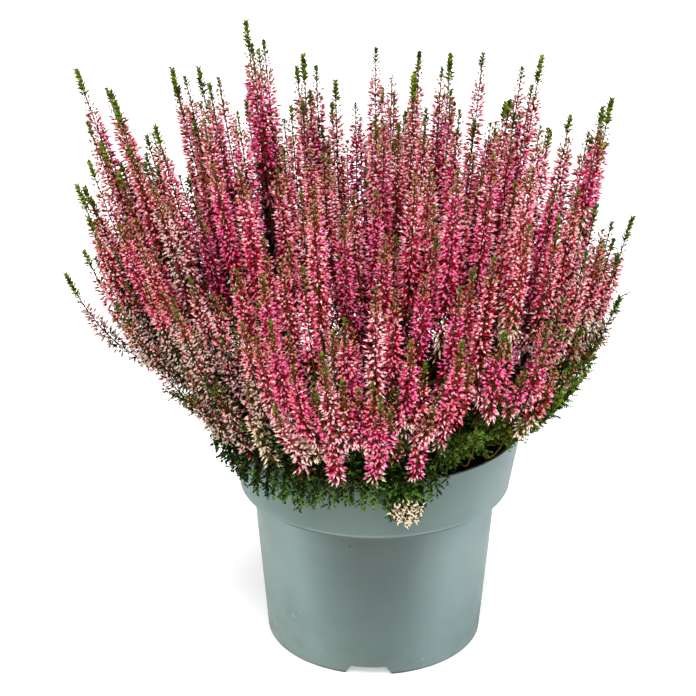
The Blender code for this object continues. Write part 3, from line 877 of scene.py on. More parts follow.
@dataclass
class CrownPlan:
    """Where every shoot of the crown goes, by the rule of the solids, and its side shoots."""

    rule: CrownRule
    inner_masses: int = 5
    inner_place: float = 0.42
    outer_masses: int = 8
    outer_place: float = 0.87
    bough_length: float = 0.034
    bough_length_by_place: float = 0.018
    shoots: int = 92
    low_every: int = 3
    low_share: float = 0.52
    pot_height: float = 0.1184
    azimuth_spread: float = 0.06
    seed: int = 41
    top_height: float = 0.286
    top_fall: float = 0.022
    middle_dip: float = 0.020
    middle_place: float = 0.30
    edge_place: float = 0.72
    edge_height: float = 0.185
    height_spread: float = 0.018
    split_first: float = 0.006
    split_spread: float = 0.022
    split_run: float = 0.060
    stem_space: float = 0.05
    spike_length: float = 0.098
    side_seed: int = 5
    side_run: float = 0.045
    side_drop: Span = (0.010, 0.044)
    side_offset: Span = (0.040, 0.105)
    side_tries: int = 12
    side_counts: dict[Order, int] = field(
        default_factory=lambda: {
            Order.STEM: 2,
            Order.MAIN: 2,
            Order.LEADER: 4,
            Order.LONE: 0,
            Order.LOW: 1,
            Order.GAP: 1,
        }
    )
    low_side_drop: Span = (0.045, 0.085)
    left_reach: float = 0.92
    low_side_place: float = 0.70
    leader_drop: Span = (0.006, 0.034)
    leader_low_drop: Span = (0.036, 0.066)
    leader_offset: Span = (0.022, 0.066)
    front_leader_sides: int = 3
    leader_low_sides: int = 2
    leader_beyond: float = 0.012
    leader_within: float = 0.02
    side_split_spread: float = 0.016
    side_split_gap: float = 0.004
    left_from: float = 0.55
    left_run: float = 0.30

    def mass_places(self) -> list[Array]:
        """The disc places of the masses' stems: the centre, the inner and the outer ring."""
        places = [np.zeros(2)]
        for count, place in ((self.inner_masses, self.inner_place), (self.outer_masses, self.outer_place)):
            places += [disc_place(place, FRONT + index * math.tau / count) for index in range(count)]
        return places

    def bough_reach(self, place: Array) -> float:
        """How far a bough runs before its mass takes over."""
        return self.bough_length + self.bough_length_by_place * float(np.linalg.norm(place))

    def tip_height(self, place: float, dice: random.Random) -> float:
        """The height of a tip: a wide low dome, dipped in the middle, that falls at its edge."""
        middle = self.top_height - self.top_fall * (place / self.edge_place) ** 2
        middle -= self.middle_dip * (1.0 - smoothstep(place / self.middle_place))
        edge = rise(place, self.edge_place, 1.0 - self.edge_place)
        height = middle + (self.edge_height - middle) * edge
        return float(height) + dice.uniform(-self.height_spread, self.height_spread)

    def tips(self) -> list[tuple[Order, Array, float]]:
        """The order, the disc place and the tip's height of each shoot that isn't a stem."""
        dice = random.Random(self.seed)
        found = []
        for name, tip in LEADERS.items():
            order = Order.LONE if name == LONE_LEADER else Order.LEADER
            found.append((order, self.rule.place_of_tip(*tip), tip[2]))
        lowest = self.edge_height - self.height_spread
        for index in range(self.shoots):
            place = math.sqrt((index + 0.5) / self.shoots)
            azimuth = index * GOLDEN_ANGLE + dice.uniform(-self.azimuth_spread, self.azimuth_spread)
            height = self.tip_height(place, dice)
            order = Order.MAIN
            if index % self.low_every == 0:
                order = Order.LOW
                height = max(self.pot_height + self.low_share * (height - self.pot_height), lowest)
            found.append((order, disc_place(place, azimuth), height))
        return found + [(Order.GAP, self.rule.place_of_tip(*tip), tip[2]) for tip in GAP_TIPS]

    def main_shoots(self) -> list[Shoot]:
        """The stems of the masses and the shoots that leave them."""
        dice = random.Random(self.seed + 1)
        places = self.mass_places()
        grown = []
        for number, place in enumerate(places):
            length = self.rule.length_to_height(place, self.tip_height(float(np.linalg.norm(place)), dice))
            split = self.bough_reach(place) + CLEARANCE
            grown.append(Shoot(self.rule, Order.STEM, number, place, np.zeros(2), split, 1.0, length))
        for order, place, height in self.tips():
            gaps = [float(np.linalg.norm(place - stem)) for stem in places]
            number = int(np.argmin(gaps))
            if gaps[number] < self.stem_space:
                continue
            stem = places[number]
            split = self.bough_reach(stem) + self.split_first + dice.uniform(0.0, self.split_spread)
            if order in (Order.MAIN, Order.LOW) and not self.has_room(place):
                continue
            length = self.rule.length_to_height(place, height)
            grown.append(Shoot(self.rule, order, number, stem, place - stem, split, self.split_run, length))
        return grown

    def side_shoots(self, main: Sequence[Shoot]) -> list[Shoot]:
        """Shorter flowering shoots beside the others, each towards the nearest open place.

        Args:
            main: the stems and the shoots that leave them.

        Returns:
            The shoots, parent by parent.
        """
        dice = random.Random(self.side_seed)
        taken = [shoot.place for shoot in main]
        grown = []
        for parent in main:
            leader = parent.order is Order.LEADER
            steps = self.leader_offset if leader else self.side_offset
            drops = [self.leader_drop if leader else self.side_drop] * self.side_counts[parent.order]
            if leader and parent.place[1] < -self.low_side_place:
                drops = drops[: self.front_leader_sides]
            elif leader:
                drops += [self.leader_low_drop] * self.leader_low_sides
            elif parent.order is Order.MAIN and np.linalg.norm(parent.place) < self.low_side_place:
                drops.append(self.low_side_drop)
            for span in drops:
                drop = dice.uniform(*span)
                reach = 1.0
                if leader:
                    reach = float(np.linalg.norm(parent.place))
                    reach += self.leader_beyond if drop < self.leader_drop[1] else -self.leader_within
                offset = self.open_offset(parent.place, reach, steps, taken, dice)
                taken.append(parent.place + offset)
                length = parent.length - drop
                split = length - self.spike_length - dice.uniform(0.0, self.side_split_spread)
                split = max(parent.split + self.side_split_gap, split)
                own = (offset, split, self.side_run, length, parent)
                grown.append(Shoot(self.rule, Order.SIDE, parent.mass, parent.foot, *own))
        return grown

    def open_offset(
        self,
        place: Array,
        reach: float,
        steps: Span,
        taken: Sequence[Array],
        dice: random.Random,
    ) -> Array:
        """The step from a place that ends farthest from the places taken, of several tried.

        Args:
            place: the place in the disc.
            reach: how far from the disc's centre the step may end.
            steps: the shortest and the longest step.
            taken: the places that are taken.
            dice: the random source.

        Returns:
            The step.
        """
        best = np.zeros(2)
        widest = -1.0
        for _ in range(self.side_tries):
            offset = disc_place(dice.uniform(*steps), dice.uniform(0.0, math.tau))
            if not self.has_room(place + offset) or np.linalg.norm(place + offset) > reach:
                continue
            room = min(float(np.linalg.norm(place + offset - other)) for other in taken)
            if room > widest:
                widest = room
                best = offset
        return best

    def has_room(self, place: Array) -> bool:
        """Whether a place lies in the crown, which draws in beside the lone leader."""
        left = rise(-place[0], self.left_from, self.left_run)
        return float(np.linalg.norm(place)) < 1.0 - (1.0 - self.left_reach) * left

    def all_shoots(self) -> list[Shoot]:
        """Every flowering shoot."""
        main = self.main_shoots()
        return main + self.side_shoots(main)


@dataclass(frozen=True)
class SprigLeaf:
    """The leaves of a short side twig: their length, width by length, gap and spread."""

    length: float
    width: float
    gap: float
    spread: float


@dataclass
class Sprays:
    """Scale leaves, buds and fine twigs, gathered as the shoots are dressed."""

    dice: np.random.Generator
    buds: list[Shape] = field(default_factory=list)
    leaves: list[Shape] = field(default_factory=list)
    twigs: list[Shape] = field(default_factory=list)

    def add_leaves(
        self,
        line: Line,
        distances: Array,
        length: Span,
        spread: Span,
        tints: Sequence[LeafTint],
        width: float = 0.52,
    ) -> None:
        """Set crossed pairs of scale leaves along a line.

        Args:
            line: the line that carries them.
            distances: where along it each pair sits.
            length: the length of a leaf at the first and the last pair.
            spread: how far a leaf stands off the line there, in radians.
            tints: the tints to deal out.
            width: a leaf's width as a share of its length.
        """
        count = len(distances)
        share = np.tile(np.linspace(0.0, 1.0, count), 2)
        turns = np.arange(count) * (math.pi / 2) + self.dice.normal(0.0, 0.25, count)
        turns = np.concatenate((turns, turns + math.pi))
        points, along, outward = line.round(np.tile(distances, 2), turns)
        lean = spread[0] + (spread[1] - spread[0]) * share + self.dice.normal(0.0, 0.10, count * 2)
        sizes = length[0] + (length[1] - length[0]) * share
        sizes = sizes * self.dice.uniform(0.8, 1.2, count * 2)
        heading = leaning(along, outward, lean)
        finishes = self.dice.choice([tint.value for tint in tints], size=(count * 2, 1))
        across = np.cross(heading, outward)
        self.leaves.append(LEAF.copies(points, heading, across, sizes, sizes * width, finishes))

    def add_side_sprays(
        self,
        line: Line,
        distances: Array,
        turns: Array,
        lengths: Array,
        lean: float,
        leaf: SprigLeaf,
        tints: Sequence[LeafTint],
    ) -> None:
        """Set short leafy twigs along a line.

        Args:
            line: the line that carries them.
            distances: where along it each twig sits.
            turns: the turn round the line at which each leaves it.
            lengths: the length of each twig.
            lean: how far they stand off the line, in radians.
            leaf: the measures of their leaves.
            tints: the tints to deal out, one for each twig.
        """
        count = len(distances)
        points, along, outward = line.round(distances, turns)
        leans = lean + self.dice.normal(0.0, 0.14, count)
        heading = unit(leaning(along, outward, leans))
        across = np.cross(heading, outward)
        widths = np.full(count, 0.0007)
        browns = np.zeros((count, 1), dtype=int)
        self.twigs.append(TWIGLET.copies(points, heading, across, lengths, widths, browns))
        dealt = self.dice.choice([tint.value for tint in tints], size=count)
        pairs = np.maximum(3, np.round(lengths / leaf.gap).astype(int))
        owner = np.repeat(np.arange(count), pairs * 2)
        number = np.concatenate([np.repeat(np.arange(pair), 2) for pair in pairs])
        side = np.tile((0.0, math.pi), pairs.sum())
        share = (number + 0.6) / pairs[owner]
        turn = number * (math.pi / 2) + side + self.dice.normal(0.0, 0.3, len(owner))
        third = np.cross(heading, across)
        off = leaning(across[owner], third[owner], turn)
        leaf_lean = leaf.spread - 0.45 * share + self.dice.normal(0.0, 0.12, len(owner))
        feet = points[owner] + heading[owner] * (lengths[owner] * share)[:, None]
        way = leaning(heading[owner], off, leaf_lean)
        sizes = leaf.length * self.dice.uniform(0.8, 1.15, len(owner)) * (1.0 - 0.25 * share)
        finishes = dealt[owner][:, None]
        self.leaves.append(LEAF.copies(feet, way, np.cross(way, off), sizes, sizes * leaf.width, finishes))


@dataclass(frozen=True)
class SpikeLook:
    """What sets one flower spike apart from the others.

    The foot's tint prevails up to the share of the spike in fade, fill is the share of its lower buds
    that are kept, dark the share of deep buds at its foot (partly painted shade), pale the share of blush
    buds near its top (partly painted highlight), and tip the size of its green tip, where 1 is usual.
    """

    tint: BudTint
    foot_tint: BudTint
    fade: float
    fill: float
    dark: float
    pale: float
    tip: float


@dataclass
class FlowerSpike:
    """The flowering part of a shoot: buds all round it, young buds above, and a green tip."""

    buds_per_metre: float = 4450.0
    crowding: float = 0.86
    bud_length: float = 0.0038
    foot_size: float = 1.18
    bud_width: float = 0.00128
    stand_off: Span = (0.0003, 0.0022)
    deep_size: float = 0.80
    tip_length: float = 0.0085
    tip_gap: float = 0.0010
    young_length: float = 0.0085
    young_buds: int = 16
    foot_lean: float = math.radians(128.0)
    top_lean: float = math.radians(52.0)
    leaf_length: float = 0.0020

    def dress(self, sprays: Sprays, line: Line, start: float, look: SpikeLook) -> None:
        """Put the buds, the young buds and the tip on a shoot.

        Args:
            sprays: what the buds and leaves are added to.
            line: the shoot's line.
            start: the distance along it at which the buds begin.
            look: the spike's tints and sizes.
        """
        tip_from = line.length - self.tip_length * look.tip
        young_from = tip_from - self.young_length
        self.add_buds(sprays, line, (start, young_from), look)
        self.add_young_buds(sprays, line, young_from - 0.002, tip_from)
        self.add_tip(sprays, line, tip_from, look.tip)
        middle = 0.5 * (start + young_from)
        sizes = (self.leaf_length, self.leaf_length)
        # Painted shade: the leaves on the lower half of the spike take near-black and brown tints.
        low = (LeafTint.PAINTED_SHADE, LeafTint.PAINTED_SHADE, LeafTint.BROWN)
        high = (LeafTint.BROWN, LeafTint.BROWN, LeafTint.BROWN, LeafTint.MIDDLE)
        sprays.add_leaves(line, np.arange(start, middle, 0.0046), sizes, (0.9, 0.9), low)
        sprays.add_leaves(line, np.arange(middle, tip_from, 0.0026), sizes, (0.9, 0.6), high)

    def add_buds(self, sprays: Sprays, line: Line, run: Span, look: SpikeLook) -> None:
        """Deal out the open buds, drooping at the foot and lifting towards the top.

        Args:
            sprays: what the shapes are added to.
            line: the line that carries them.
            run: the distances along it at which they begin and end.
            look: the spike's tints and sizes.
        """
        dice = sprays.dice
        start, end = run
        count = max(6, round((end - start) * self.buds_per_metre))
        share = ((np.arange(count) + 0.5) / count) ** self.crowding
        kept = dice.random(count) < look.fill + (1.0 - look.fill) * rise(share, 0.35, 0.25)
        turns = (np.arange(count) * GOLDEN_ANGLE + dice.normal(0.0, 0.45, count))[kept]
        share = share[kept]
        count = len(share)
        distances = start + (end - start) * share + dice.normal(0.0, 0.0004, count)
        points, along, outward = line.round(distances, turns)
        lean = self.foot_lean + (self.top_lean - self.foot_lean) * share**1.35
        lean = lean + dice.normal(0.0, 0.13, count)
        narrow = 1.0 - 0.16 * rise(share, 0.75, 0.25) - 0.20 * fall(share, 0.12, 0.12)
        narrow = narrow * (self.foot_size + (1.0 - self.foot_size) * share)
        heading = leaning(along, outward, lean)
        heading = heading - UP * (0.10 + 0.75 * fall(share, 0.35, 0.35))[:, None]
        bodies = self.deal(dice, share, look)
        close = np.where(bodies == BudTint.DEEP.value, self.deep_size, 1.0)
        feet = points + outward * (dice.uniform(*self.stand_off, count) * narrow * close)[:, None]
        lengths = self.bud_length * dice.uniform(0.78, 1.14, count) * narrow * close
        widths = self.bud_width * dice.uniform(0.85, 1.15, count) * (0.55 + 0.45 * narrow)
        tips = np.where((bodies == BudTint.DEEP.value) & (dice.random(count) < 0.4), look.tint.value, bodies)
        paler = (tips < BudTint.BLUSH.value) & (dice.random(count) < 0.30)
        tips = np.where(paler, tips + 1, tips)
        finishes = np.stack((bodies, len(BUD_BODIES) + tips), axis=1)
        across = dice.normal(0.0, 1.0, (count, 3))
        sprays.buds.append(BUD.copies(feet, heading, across, lengths, widths, finishes))

    def deal(self, dice: np.random.Generator, share: Array, look: SpikeLook) -> Array:
        """Deal out a spike's tints: its own, some of its neighbours', the foot's low down.

        Args:
            dice: the random source.
            share: how far up the spike each bud sits, from 0 to 1.
            look: the spike's tints and sizes.

        Returns:
            The number of each bud's tint.
        """
        count = len(share)
        own = look.tint.value
        near = np.clip(own + dice.integers(-1, 2, count), 0, max(own, BudTint.BLUSH.value))
        tints = np.where(dice.random(count) < 0.62, own, near)
        # Deep buds, more of them towards the spike's foot: partly their own deep red, partly painted shade
        # low in the crown.
        deep = 0.26 if own < BudTint.BLUSH.value else 0.12
        deep = deep + (look.dark - deep) * fall(share, 0.62, 0.50)
        tints = np.where(dice.random(count) < deep, BudTint.DEEP.value, tints)
        # Painted highlight: blush buds towards the top of the spike.
        paler = dice.random(count) < look.pale * rise(share, 0.5, 0.4)
        tints = np.where(paler, BudTint.BLUSH.value, tints)
        faded = dice.random(count) < 0.9 * fall(share, look.fade, 0.28)
        tints = np.where(faded, look.foot_tint.value, tints)
        young = dice.random(count) < 0.6 * rise(share, 0.90, 0.10)
        return np.where(young, BudTint.YOUNG.value, tints)

    def add_young_buds(self, sprays: Sprays, line: Line, start: float, end: float) -> None:
        """A few small dark buds on thin stalks under the green tip.

        Args:
            sprays: what the shapes are added to.
            line: the line that carries them.
            start: the distance along it at which they begin.
            end: where they end.
        """
        dice = sprays.dice
        count = self.young_buds
        share = (np.arange(count) + 0.5) / count
        turns = np.arange(count) * GOLDEN_ANGLE + dice.normal(0.0, 0.3, count)
        points, along, outward = line.round(start + (end - start) * share, turns)
        lean = 1.05 - 0.35 * share + dice.normal(0.0, 0.18, count)
        heading = unit(leaning(along, outward, lean))
        stalks = (0.0026 - 0.0013 * share) * dice.uniform(0.7, 1.2, count)
        across = dice.normal(0.0, 1.0, (count, 3))
        reds = np.ones((count, 1), dtype=int)
        widths = np.full(count, 0.00045)
        sprays.twigs.append(TWIGLET.copies(points, heading, across, stalks * 1.2, widths, reds))
        feet = points + heading * (stalks * 0.9)[:, None]
        sizes = 0.0017 * dice.uniform(0.8, 1.25, count)
        young = BudTint.YOUNG.value
        finishes = np.tile((young, len(BUD_BODIES) + young), (count, 1))
        sprays.buds.append(BUD.copies(feet, heading, across, sizes, sizes * 0.62, finishes))

    def add_tip(self, sprays: Sprays, line: Line, start: float, size: float) -> None:
        """The blunt green tip: rows of scale leaves that stand off a little.

        Args:
            sprays: what the shapes are added to.
            line: the line that carries them.
            start: the distance along it at which the tip begins.
            size: the size of the tip, where 1 is usual.
        """
        pairs = max(3, round(self.tip_length * size / self.tip_gap))
        spots = np.linspace(start, line.length - 0.0018, pairs)
        long = 0.0013 + 0.0020 * min(size, 1.2)
        tints = (LeafTint.FRESH, LeafTint.FRESH, LeafTint.MIDDLE)
        if size > 1.0:
            tints = (LeafTint.BRIGHT, *tints)
        sprays.add_leaves(line, spots, (long, long * 0.85), (1.00, 0.55), tints, 0.72)


@dataclass
class Crown:
    """The flowering crown: its shoots, dressed and joined, each kind apart, in sectors."""

    plan: CrownPlan
    spike: FlowerSpike = field(default_factory=FlowerSpike)
    seed: int = 11
    twig_radius: float = 0.00068
    tip_radius: float = 0.00022
    leafy_reach: float = 0.030
    leafy_height: float = 0.128
    inner_step: float = 0.0034
    outer_step: float = 0.0022
    inner_leaf: SprigLeaf = SprigLeaf(0.0028, 0.66, 0.00180, 0.90)
    outer_leaf: SprigLeaf = SprigLeaf(0.0017, 0.72, 0.00105, 0.90)
    outer_from: float = 0.72
    inner_lengths: Span = (0.0045, 0.0085)
    outer_lengths: Span = (0.0030, 0.0052)
    left_longer: float = 1.3
    left_from: float = -0.35
    sprig_lean: float = 0.85
    row_length: float = 0.0055
    stem_radius: float = 0.0009
    side_spike: float = 0.82
    least_foot: float = 0.010
    front_from: float = -0.6
    back_from: float = -0.1
    leader_tip: float = 1.60
    front_leader_tip: float = 0.60
    beside_leader_tip: Span = (0.65, 1.00)
    inner_tips: float = 0.32
    inner_tip: Span = (0.45, 0.85)
    inner_stub: Span = (0.08, 0.30)
    back_tip: Span = (0.90, 1.25)
    front_tip: Span = (0.25, 0.55)

    def sector(self, mass: int) -> str:
        """The part of the crown that a mass belongs to, in which its pieces are joined."""
        if mass == 0:
            return "middle"
        if mass <= self.plan.inner_masses:
            return "inner_front" if mass in (1, 2, 5) else "inner_back"
        number = mass - 1 - self.plan.inner_masses
        return ("outer_front", "outer_right", "outer_back", "outer_left")[(number + 1) % 8 // 2]

    def look_of(self, shoot: Shoot, height: float, dice: np.random.Generator) -> SpikeLook:
        """Choose a spike's look: paler at the crown's edge, and faded low on its left.

        Args:
            shoot: the shoot.
            height: the height of its top.
            dice: the random source.

        Returns:
            The look.
        """
        place = shoot.place
        reach = float(np.linalg.norm(place))
        edge = float(rise(reach, 0.45, 0.5))
        left = float(rise(-place[0], 0.15, 0.55))
        front = float(rise(-place[1], 0.40, 0.40))
        pale = min(1.0, (0.50 - 0.32 * front) * edge + 0.35 * left * edge)
        deep = np.array((0.36, 0.40, 0.22, 0.02, 0.00))
        light = np.array((0.08, 0.26, 0.40, 0.22, 0.04))
        chances = deep + (light - deep) * pale
        tint = BudTint(int(dice.choice(5, p=chances / chances.sum())))
        right = float(rise(place[0], 0.40, 0.35))
        cream = 0.06 + 0.30 * pale + 0.50 * right + 0.20 * front
        foot = BudTint.CREAM if dice.random() < cream else BudTint.BLUSH
        if dice.random() < 0.90 * left:
            foot = BudTint.FADED
        low = left * float(fall(height, 0.240, 0.045))
        fade = 0.28 + 0.12 * left + 0.70 * low + edge * max(0.40 * right, 0.26 * front)
        outer = float(rise(reach, 0.45, 0.35))
        fill = 0.48 + (0.12 * left + 0.35 * outer * (1.0 - 0.6 * front)) * (1.0 - low) - 0.14 * low
        # Painted shade: a larger share of deep buds on spikes inside the crown and in front.
        inside = 1.0 - float(rise(reach, 0.60, 0.32))
        dark = 0.24 + 0.34 * front + 0.56 * inside * (1.0 - front)
        # Painted highlight: more blush buds near the spikes' tops, most on the tallest spikes and fewest in
        # front.
        high = float(rise(height, 0.255, 0.03))
        painted_top_highlight = 0.24 - 0.12 * front + 0.28 * high
        return SpikeLook(tint, foot, fade, fill, dark, painted_top_highlight, self.tip_of(shoot, dice))

    def tip_of(self, shoot: Shoot, dice: np.random.Generator) -> float:
        """The size of a shoot's green tip: large on the outline, small inside the crown.

        Args:
            shoot: the shoot.
            dice: the random source.

        Returns:
            The size, where 1 is usual.
        """
        if shoot.order in (Order.LEADER, Order.LONE):
            return self.front_leader_tip if shoot.place[1] < self.front_from else self.leader_tip
        if shoot.order in (Order.SIDE, Order.LOW):
            beside_leader = shoot.parent is not None and shoot.parent.order is Order.LEADER
            if beside_leader and shoot.place[1] > self.front_from:
                return dice.uniform(*self.beside_leader_tip)
            return dice.uniform(*(self.inner_tip if dice.random() < self.inner_tips else self.inner_stub))
        return dice.uniform(*(self.back_tip if shoot.place[1] > self.back_from else self.front_tip))

    def dress_shoot(self, shoot: Shoot, sprays: Sprays) -> None:
        """Put the twig, its leafy foot, the buds and the tip on one shoot.

        Args:
            shoot: the shoot.
            sprays: what the shapes are added to.
        """
        line = shoot.line(self.row_length)
        rows = len(line.points) - 1
        share = np.arange(rows) / rows
        foot = self.twig_radius if shoot.order is not Order.STEM else self.stem_radius
        radii = foot + (self.tip_radius - foot) * share
        sprays.twigs.append(line.tube(radii, 3, 1 if shoot.order in (Order.SIDE, Order.LEADER) else 0))
        spike = self.plan.spike_length * (self.side_spike if shoot.order is Order.SIDE else 1.0)
        start = max(line.length - spike, self.least_foot)
        leafy = start + spike * self.leafy_share(shoot)
        buds_from = start + 0.70 * max(0.0, leafy - start - 0.25 * spike)
        look = self.look_of(shoot, float(line.points[-1, 2]), sprays.dice)
        self.spike.dress(sprays, line, buds_from, look)
        self.add_leafy_foot(shoot, line, leafy, sprays)

    def leafy_share(self, shoot: Shoot) -> float:
        """How far up the spike its leafy twigs go: farthest on the crown's right edge."""
        edge = float(rise(np.linalg.norm(shoot.place), 0.62, 0.3))
        right = float(rise(shoot.place[0], 0.25, 0.4))
        left = float(rise(-shoot.place[0], 0.35, 0.4))
        return 0.27 + edge * (0.10 + 0.32 * right + 0.26 * left)

    def add_leafy_foot(self, shoot: Shoot, line: Line, end: float, sprays: Sprays) -> None:
        """Short leafy twigs on the foot of a shoot and among its lowest buds.

        Args:
            shoot: the shoot.
            line: its line.
            end: the distance along it at which they end.
            sprays: what the shapes are added to.
        """
        dice = sprays.dice
        outer = np.linalg.norm(shoot.place) > self.outer_from
        reach = np.hypot(line.points[:, 0], line.points[:, 1])
        clear = (reach > self.leafy_reach) | (line.points[:, 2] > self.leafy_height)
        step = self.outer_step if outer else self.inner_step
        spots = np.arange(max(0.004, float(line.runs[np.argmax(clear)])), end, step)
        if len(spots) < 3:
            return
        turns = np.arange(len(spots)) * GOLDEN_ANGLE + dice.normal(0.0, 0.3, len(spots))
        # Painted shade: inside the crown the leafy twigs take mostly the near-black tint.
        tints = (LeafTint.PAINTED_SHADE, LeafTint.PAINTED_SHADE, LeafTint.PAINTED_SHADE, LeafTint.BROWN)
        leaf = self.inner_leaf
        lengths = dice.uniform(*self.inner_lengths, len(spots))
        if outer:
            leaf = self.outer_leaf
            lengths = dice.uniform(*self.outer_lengths, len(spots))
            if shoot.place[0] > self.left_from:
                tints = (LeafTint.DEEP, LeafTint.DEEP, LeafTint.MIDDLE, LeafTint.FRESH)
            else:
                # Painted shade: the outer left takes darker tints than the right.
                tints = (LeafTint.PAINTED_SHADE, LeafTint.DEEP, LeafTint.DEEP, LeafTint.MIDDLE)
                lengths = lengths * self.left_longer
        sprays.add_side_sprays(line, spots, turns, lengths, self.sprig_lean, leaf, tints)

    def build(self) -> list[bpy.types.Object]:
        """Dress every shoot and join the pieces of each sector.

        Returns:
            The pieces.
        """
        gathered: dict[str, Sprays] = {}
        masses: dict[str, set[int]] = {}
        for shoot in self.plan.all_shoots():
            name = self.sector(shoot.mass)
            sprays = gathered.setdefault(name, Sprays(np.random.default_rng((self.seed, len(gathered)))))
            masses.setdefault(name, set()).add(shoot.mass)
            self.dress_shoot(shoot, sprays)
        pieces = []
        for name, sprays in gathered.items():
            nodes = [f"blossom_mass_{mass + 1:02d}" for mass in sorted(masses[name])]
            pieces += finish_sprays(name, sprays, "blossom", nodes)
        return pieces


def finish_sprays(name: str, sprays: Sprays, slot: str, nodes: Sequence[str]) -> list[bpy.types.Object]:
    """Join gathered buds, leaves and twigs into a piece of each kind.

    Args:
        name: what the pieces are named for.
        sprays: the gathered shapes.
        slot: the record's material slot of the CAD nodes.
        nodes: the CAD nodes that the piece in that slot stands for.

    Returns:
        The pieces.
    """
    kinds = (
        ("buds", sprays.buds, (*BUD_BODIES, *BUD_TIPS), "blossom"),
        ("leaves", sprays.leaves, LEAVES, "leaf"),
        ("twigs", sprays.twigs, (TWIG_BROWN, TWIG_OLIVE), "wood"),
    )
    pieces = []
    for kind, shapes, finishes, of_slot in kinds:
        piece = Shape.joined(shapes).to_object(f"{name}_{kind}", finishes)
        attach(piece, BODY)
        if of_slot == slot:
            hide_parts(*nodes)
        pieces.append(piece)
    return pieces


MAT_EDGE = {
    -180: 0.1120, -150: 0.1085, -140: 0.1055, -132: 0.1025, -112: 0.1035,
    -100: 0.1070, -90: 0.1085, -84: 0.1050, -81: 0.1012, -76: 0.1012,
    -72: 0.1070, -67: 0.1140, -58: 0.1190, -40: 0.1215, -20: 0.1210,
    0: 0.1180, 40: 0.1120, 90: 0.1060, 140: 0.1090, 180: 0.1120,
}


